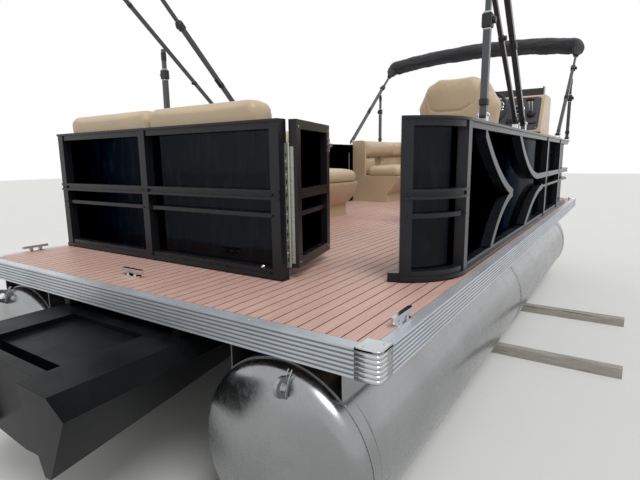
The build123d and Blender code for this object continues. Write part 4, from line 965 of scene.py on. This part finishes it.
def cap_plan(proud):
    """Outer line of the starboard stern cap in plan: along the stern, round the corner and forward."""
    c, r = DECK_HALF - CAP_ROUND, CAP_ROUND + proud
    angles = [-pi / 2 + pi / 2 * k / 10 for k in range(11)]
    arc = [(c + r * cos(a), CAP_ROUND + r * sin(a)) for a in angles]
    return [(DECK_HALF - CAP_RUN, -proud), *arc, (DECK_HALF + proud, CAP_RUN)]


def cap_section():
    """(outward, up) points of a cap's ribbed wall."""
    points = []
    for k in range(7):
        top = -k * RIB_PITCH
        points += [(0.0012, top + 0.0005), (0.002, top - 0.0008), (0.002, top - 0.0072), (0.0012, top - 0.008)]
        points += [(-0.001, top - 0.009), (-0.001, top - 0.0138)] if k < 6 else [(0.0, -0.099)]
    return points + [(-0.004, -0.099), (-0.004, 0.0)]


def corner(x, y, z, sx, sy):
    """A point of the starboard stern corner, mirrored to another corner of the deck."""
    return sx * x, y if sy < 0 else DECK_LENGTH - y, z


caps, screws = Kit(), Kit()
for sx, sy in product((-1, 1), repeat=2):
    caps.loft([[corner(*cap_plan(u)[k], v, sx, sy) for u, v in cap_section()] for k in range(13)])
    rings = []
    for up, inset in ((-0.006, 0), (0.0008, 0), (0.002, 0.0012)):
        edge = [*cap_plan(0.002 - inset), (DECK_HALF - CAP_RUN + inset, CAP_RUN - inset)]
        rings.append([corner(x, y, up, sx, sy) for x, y in edge])
    caps.loft(rings)
    for dx, dy in ((0.016, 0.06), (0.06, 0.016)):
        screws.screw(corner(DECK_HALF - dx, dy, 0.002, sx, sy), Z)
caps.done("deck_caps", "polished_metal", replaces=("corner_caps",))
for side, k in product((-1, 1), range(19)):
    screws.screw((side * 1.228, 0.2 + k * 0.29, 0), Z, 0.0032)
for k, y in product(range(9), (0.022, DECK_LENGTH - 0.022)):
    screws.screw((-1.0 + k * 0.25, y, 0), Z, 0.0032)
screws.done("trim_screws", "polished_metal")

fittings = Kit()
outer = FENCE_Y - FENCE_SKIN
rows = [((x, outer, 0.026), -Y) for x in (-1.1, -0.8, -0.1, 0.2, 0.47)]
for z in (0.287, 0.379):
    rows += [((x, outer, z), -Y) for x in (-1.158, -0.392, -0.348, 0.5)]
    for side, y in product((-1, 1), (3.4, 4.15, 4.25, 4.8)):
        rows.append(((side * (FENCE_X + FENCE_SKIN), y, z), side * X))
    for turn in (radians(-62), radians(-7)):
        way = Vector((cos(turn), sin(turn), 0))
        rows.append((Vector((0.875, 1.0, z)) + way * 0.3212, way))
for place, way in rows:
    fittings.screw(place, way, 0.005)
fittings.done("fence_screws", "fence_paint")

# Snap studs and a drain fitting on the aft run, as the photo shows at its edges
studs = Kit()
for place, way, neck in (((-1.191, 0.49, 0.12), -X, 0.006), ((-1.191, 0.49, 0.6), -X, 0.006),
                         ((0.448, outer, 0.06), -Y, 0.004)):
    profile = ((0, 0.008), (neck, 0.008), (neck + 0.001, 0.005), (0.012, 0.006), (0.014, 0.004))
    studs.turned(place, way, profile, 14)
studs.done("snap_studs", "polished_metal")

# Hinges and latches of the gates
HINGE_PITCH = 0.0575
GATES = (
    # name, hinge, heading, width, heading from the hinge to the fence
    ("aft_gate", (0.551, 0.524), 104.58, 0.4656, 180),
    ("port_gate", (-1.131, 3.979), -90, 0.635, 90),
    ("bow_gate", (0.304, 5.156), 180, 0.6, 0),
)


def gate_axes(hinge, heading):
    """Matrix from a gate's own frame (along the gate, left of it, up) to the deck frame."""
    return Matrix.Translation((*hinge, 0)) @ Matrix.Rotation(radians(heading), 4, "Z")


fixed, slot_shade = Kit(), Kit()
for name, hinge, heading, width, to_fence in GATES:
    place = gate_axes(hinge, heading)
    turn = place.to_3x3()
    moving, latch = Kit(), Kit()
    for k in range(9):
        moving.screw(place @ Vector((0.0053, -0.013, 0.095 + HINGE_PITCH * k)), turn @ -X, 0.0042)
    for x, z in product((0.031, width - 0.022), (0.075, 0.67)):
        moving.screw(place @ Vector((x, -0.037, z)), turn @ -Y, 0.005)
    moving.done(name + "_screws", "zinc", name)
    face = place @ Vector((width - 0.022, -0.037, 0.6))
    latch.turned(face, turn @ -Y, ((0, 0.011), (0.014, 0.011), (0.016, 0.009)))
    for offset, size in (((0, -0.003, 0), (0.03, 0.006, 0.07)), ((-0.014, -0.018, 0), (0.05, 0.005, 0.016)),
                         ((0.018, 0.02, 0), (0.009, 0.012, 0.03))):
        latch.block(face + turn @ Vector(offset), size, turn)
    latch.done(name + "_latch", "polished_metal", name)
    place = gate_axes(hinge, to_fence)
    turn = place.to_3x3()
    for k in range(8):
        fixed.screw(place @ Vector((0.003, 0.0145, 0.12 + HINGE_PITCH * k)), turn @ -X, 0.0038)
    # Thin black plates on the fixed leaves stand in for their slots: painted shade where the openings are.
    for k in range(9):
        middle = place @ Vector((0.003, 0.0135, 0.09 + HINGE_PITCH * k))
        slot_shade.block(middle, (0.0008, 0.0075, 0.016), turn, 0.0003)
fixed.done("fixed_leaf_screws", "polished_metal")
slot_shade.done("fixed_leaf_slot_shade", "black_paint")


# Folding tops: collars, knobs, latches, caps and pin heads
def leaning(slope, lean):
    """The way up a leg, and the turn of a block that sits square on it."""
    way = Vector((0, lean * cos(slope), sin(slope)))
    return way, columns(X, -way.cross(X).normalized(), way)


heads = Kit()
for name, pivot, slope, lean, prop, upper, stay in TOPS:
    arm, square = leaning(slope, lean)
    collars, metal, props, caps = Kit(), Kit(), Kit(), Kit()
    for side in (-1, 1):
        foot, out = Vector((side * FENCE_X, pivot, PIVOT_Z)), side * X
        latch = foot + arm * 0.6
        for middle, size, bevel in (
            (foot + arm * 1.15, (0.046, 0.046, 0.066), 0.006),
            (foot + arm * 1.184, (0.038, 0.038, 0.012), 0.004),
            (foot + arm * 0.045, (0.034, 0.034, 0.03), 0.004),
            (latch, (0.04, 0.036, 0.05), 0.005),
            (latch + square @ Vector((0, 0.0235, 0.03)), (0.018, 0.009, 0.085), 0.003),
        ):
            collars.block(middle, size, square, bevel)
        knob = ((0, 0.012), (0.006, 0.016), (0.016, 0.017), (0.019, 0.014))
        collars.turned(foot + arm * 1.15 + out * 0.02, out, knob)
        collars.turned(foot + arm * 1.567, arm, ((0, 0.0125), (0.004, 0.016), (0.03, 0.016), (0.033, 0.012)))
        metal.turned(foot + arm * 1.15 + out * 0.038, out, ((0, 0.006), (0.003, 0.006), (0.004, 0.004)), 6)
        for along in (0.3, 0.72, 1.05):
            metal.screw(foot + arm * along + out * 0.015, out, 0.0042)
        if stay:
            low, turn = leaning(stay[1], lean)
            start = Vector((side * FENCE_X, stay[0], PIVOT_Z))
            for along in (0.02, 0.62, 1.32):
                collars.block(start + low * along, (0.028, 0.028, 0.032), turn, 0.004)
            knob = ((0, 0.01), (0.006, 0.013), (0.013, 0.013), (0.015, 0.011))
            collars.turned(start + low * 0.62 + out * 0.012, out, knob, 18)
            for along in (0.02, 1.32):
                metal.screw(start + low * along + out * 0.014, out, 0.005)
        base = Vector((side * FENCE_X, prop, PROP_Z))
        for z, wide, high in ((0.06, 0.042, 0.036), (0.43, 0.048, 0.066)):
            props.block(base + Z * z, (wide, wide, high), bevel=0.006)
        knob = ((0, 0.012), (0.006, 0.016), (0.015, 0.017), (0.018, 0.014))
        props.turned(base + out * 0.02 + Z * 0.43, out, knob)
        props.block((side * FENCE_X, prop, upper - 0.052), (0.031, 0.031, 0.06), bevel=0.004)
        for z, high in ((0.4665, 0.009), (0.393, 0.008)):
            caps.block(base + Z * z, (0.036, 0.036, high), bevel=0.003)
        for z in (0.16, 0.3):
            caps.screw(base + out * 0.016 + Z * z, out, 0.0042)
        for y, z, wide in ((pivot, PIVOT_Z, 0.03), (prop, PROP_Z, 0.032)):
            for way in (-X, X):
                inner = Vector((side * FENCE_X, y, z)) + way * (wide / 2 + 0.008)
                heads.turned(inner, way, ((0, 0.0085), (0.004, 0.0085), (0.0055, 0.006)))
            for dy in (-0.0125, 0.0125):
                heads.screw((side * 1.1445, y + dy, 0.7), Z, 0.003)
    collars.done(name + "_top_collars", "top_plastic", name + "_top", slot="top_aluminium")
    metal.done(name + "_top_screws", "polished_metal", name + "_top")
    props.done(name + "_prop_collars", "top_plastic", name + "_props", slot="top_aluminium")
    caps.done(name + "_prop_caps", "pale_plastic", name + "_props", slot="polished_metal")
heads.done("fork_pin_heads", "polished_metal")

# Helm: dash panel, gauges, switches, throttle and wheel
DASH = columns(X, (0, 0.43, 0.9028), (0, -0.9028, 0.43))
DASH_LOW = Vector((0.826, 3.23, 0.735))
normal = DASH @ Z


def on_dash(x, up, out=0.0):
    """Place on the sloping dash: across, up the slope from its lower edge, off its face."""
    return Vector((x, *DASH_LOW.yz)) + DASH @ Vector((0, up, out))


def dash_turn(degrees, axis="Z"):
    return DASH @ Matrix.Rotation(radians(degrees), 3, axis)


def rounded(width, height, radius, steps=6):
    """Outline of a rounded rectangle."""
    points = []
    for quarter, (sx, sy) in enumerate(((1, 1), (-1, 1), (-1, -1), (1, -1))):
        x, y = sx * (width / 2 - radius), sy * (height / 2 - radius)
        for k in range(steps + 1):
            turn = pi / 2 * (quarter + k / steps)
            points.append((x + radius * cos(turn), y + radius * sin(turn)))
    return points


def plate(kit, centre, turn, width, height, thick, radius, edge=0.002):
    """Rounded plate lying in the first two columns of turn, with a chamfered edge."""
    rings = []
    for up, inset in ((0, 0), (thick - edge, 0), (thick, edge)):
        rim = rounded(width - 2 * inset, height - 2 * inset, max(radius - inset, 0.0005))
        rings.append([centre + turn @ Vector((u, v, up)) for u, v in rim])
    kit.loft(rings)


panel = Kit()
plate(panel, on_dash(0.826, 0.175), DASH, 0.57, 0.31, 0.005, 0.03)
plate(panel, on_dash(1.045, 0.16, 0.005), DASH, 0.1, 0.17, 0.012, 0.02, 0.004)
panel.done("dash_panel", "dash_grey", slot="black_paint")
bezels, dials, marks = Kit(), Kit(), Kit()
for x, up, r in ((0.943, 0.215, 0.042), (0.69, 0.295, 0.03), (0.6, 0.275, 0.026), (0.78, 0.275, 0.026)):
    bezels.ring(on_dash(x, up, 0.007), normal, r, 0.004, 48, 10)
    dials.turned(on_dash(x, up, 0.004), normal, ((0, r), (0.0035, r), (0.0036, r * 0.95)), 48)
    for k in range(9):
        turn = dash_turn(225 - 33.75 * k)
        marks.block(on_dash(x, up, 0.0078) + turn @ X * r * 0.74, (r * 0.16, r * 0.05, 0.0006), turn, 0.0001)
    turn = dash_turn(200)
    marks.block(on_dash(x, up, 0.009) + turn @ X * r * 0.3, (r * 0.75, r * 0.07, 0.001), turn, 0.0002)
bezels.done("gauge_rings", "polished_metal")
dials.done("gauge_dials", "gloss_black")
marks.done("gauge_marks", "pale_plastic", slot="polished_metal")
switches, rockers = Kit(), Kit()
for k in range(6):
    x = 0.862 + 0.031 * k
    plate(switches, on_dash(x, 0.105, 0.005), DASH, 0.024, 0.04, 0.004, 0.004)
    rockers.block(on_dash(x, 0.105, 0.01), (0.017, 0.032, 0.008), dash_turn(9 if k % 2 else -9, "X"))
for x in (0.585, 0.63):
    switches.turned(on_dash(x, 0.105, 0.005), normal, ((0, 0.014), (0.006, 0.014), (0.008, 0.011)), 24)
    rockers.turned(on_dash(x, 0.105, 0.012), normal, ((0, 0.008), (0.006, 0.0075), (0.008, 0.005)))
switches.done("switch_frames", "gloss_black")
rockers.done("switch_rockers", "wheel_black")
throttle, lever = Kit(), Kit()
base = on_dash(1.045, 0.16, 0.015)
throttle.turned(base - normal * 0.004, normal, ((0, 0.036), (0.02, 0.034), (0.03, 0.026), (0.033, 0.01)), 32)
lean = (normal * 0.8 + DASH @ Y * 0.6).normalized()
for step in (X * 0.012, X * -0.012):
    lever.rod(base + normal * 0.02 + step, base + lean * 0.13 + step, 0.005)
grip = base + lean * 0.128
throttle.rod(grip - X * 0.034, grip + X * 0.034, 0.014, 20, 0.005)
throttle.done("throttle", "wheel_black")
lever.done("throttle_arms", "polished_metal")
dash_screws = Kit()
for x, up in product((0.56, 0.826, 1.092), (0.035, 0.315)):
    dash_screws.screw(on_dash(x, up, 0.005), normal, 0.0035)
dash_screws.done("dash_screws", "polished_metal")

hub, rim_radius = Vector((0.69, 3.2057, 0.9398)), 0.166
rim, spokes, boss = Kit(), Kit(), Kit()
rim.ring(hub, normal, rim_radius, 0.0138, 96, 20)
for k in range(9):
    turn = dash_turn(40 * k + 20)
    rim.ring(hub + turn @ X * rim_radius, turn @ Y, 0.0132, 0.0014, 20, 6)
rim.done("wheel_rim", "wheel_black", "helm_wheel", replaces=("steering_wheel",))
for degrees, across in product((0, 120, 240), (-0.009, 0.009)):
    turn = dash_turn(degrees)
    spoke = [(0.035 + 0.118 * s, across * (1 + 0.5 * s), -0.009 + 0.009 * s * s) for s in (0, 0.25, 0.5, 0.75, 1)]
    spokes.sweep([hub + turn @ Vector(p) for p in spoke], rounded(0.008, 0.005, 0.002, 3), hint=normal)
spokes.turned(hub - normal * 0.0135, normal, ((0, 0.036), (0.001, 0.0395), (0.008, 0.0395), (0.009, 0.037)), 48)
spokes.done("wheel_spokes", "polished_metal", "helm_wheel")
profile = ((0, 0.036), (0.01, 0.036), (0.016, 0.03), (0.0185, 0.018), (0.0192, 0.004))
boss.turned(hub - normal * 0.006, normal, profile, 48)
boss.done("wheel_boss", "wheel_black", "helm_wheel")

# Console: an access hatch with its catch and hinges
trims, hatch = Kit(), Kit()
plate(hatch, Vector((0.826, 3.2905, 0.36)), columns(X, Z, -Y), 0.36, 0.42, 0.006, 0.03, 0.003)
hatch.done("console_hatch", "moulded_tan")
trims.turned((0.826, 3.2845, 0.53), -Y, ((0, 0.016), (0.003, 0.016), (0.0045, 0.013)), 28)
trims.turned((0.826, 3.281, 0.53), -Y, ((0, 0.006), (0.005, 0.006), (0.006, 0.004)), 12)
for z in (0.2, 0.5):
    trims.rod((0.638, 3.286, z - 0.03), (0.638, 3.286, z + 0.03), 0.0045)
trims.done("hatch_fittings", "polished_metal")

# Camera at the photograph's place
PITCH, YAW, ROLL = radians(9.9144), radians(33.5013), radians(-0.7034)
FOCAL_PIXELS, PICTURE_WIDTH, SENSOR = 463.065, 640, 36
ahead = Vector((-sin(YAW) * cos(PITCH), cos(YAW) * cos(PITCH), -sin(PITCH)))
level = Vector((cos(YAW), sin(YAW), 0))
upward = level.cross(ahead)
right = level * cos(ROLL) + upward * sin(ROLL)
up = upward * cos(ROLL) - level * sin(ROLL)
camera = bpy.data.objects.new("camera", bpy.data.cameras.new("camera"))
bpy.context.scene.collection.objects.link(camera)
camera.data.sensor_width = SENSOR
camera.data.lens = FOCAL_PIXELS * SENSOR / PICTURE_WIDTH
camera.data.clip_start = 0.02
camera.matrix_world = columns(right, up, -ahead).to_4x4()
camera.matrix_world.translation = (1.7784, -3.6515, 1.4122)
bpy.context.scene.camera = camera


# Pale floor, white surround and a soft overhead light
def stage():
    bpy.ops.mesh.primitive_plane_add(size=80)
    floor = bpy.context.object
    floor.name = "floor"
    look = Look("floor", (0.72, 0.72, 0.7), 0.85)
    look.colour(look.noise(0.6, 4), (0.7, 0.7, 0.68), (0.74, 0.74, 0.72))
    floor.data.materials.append(look.mat)
    floor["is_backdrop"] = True
    world = bpy.data.worlds.new("surround")
    bpy.context.scene.world = world
    world.use_nodes = True
    tree = world.node_tree
    rays = add_node(tree, "LightPath").outputs
    seen = add_node(tree, "Math", {0: rays["Is Camera Ray"], 1: rays["Is Glossy Ray"]}, operation="MAXIMUM")
    through = {0: seen.outputs[0], 1: rays["Is Transmission Ray"]}
    direct = add_node(tree, "Math", through, operation="MAXIMUM").outputs[0]
    strength = add_node(tree, "MapRange", {"Value": direct, "To Min": 0.62, "To Max": 1.0}).outputs["Result"]
    back = tree.nodes["Background"]
    tree.links.new(strength, back.inputs["Strength"])
    back.inputs["Color"].default_value = (1, 1, 1, 1)
    sun = bpy.data.objects.new("sun", bpy.data.lights.new("sun", "SUN"))
    bpy.context.scene.collection.objects.link(sun)
    sun.data.energy = 1.5
    sun.data.angle = radians(25)
    sun.rotation_euler = (radians(28), radians(20), radians(30))
    bpy.context.scene.view_settings.view_transform = "Standard"


stage()
low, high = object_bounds()
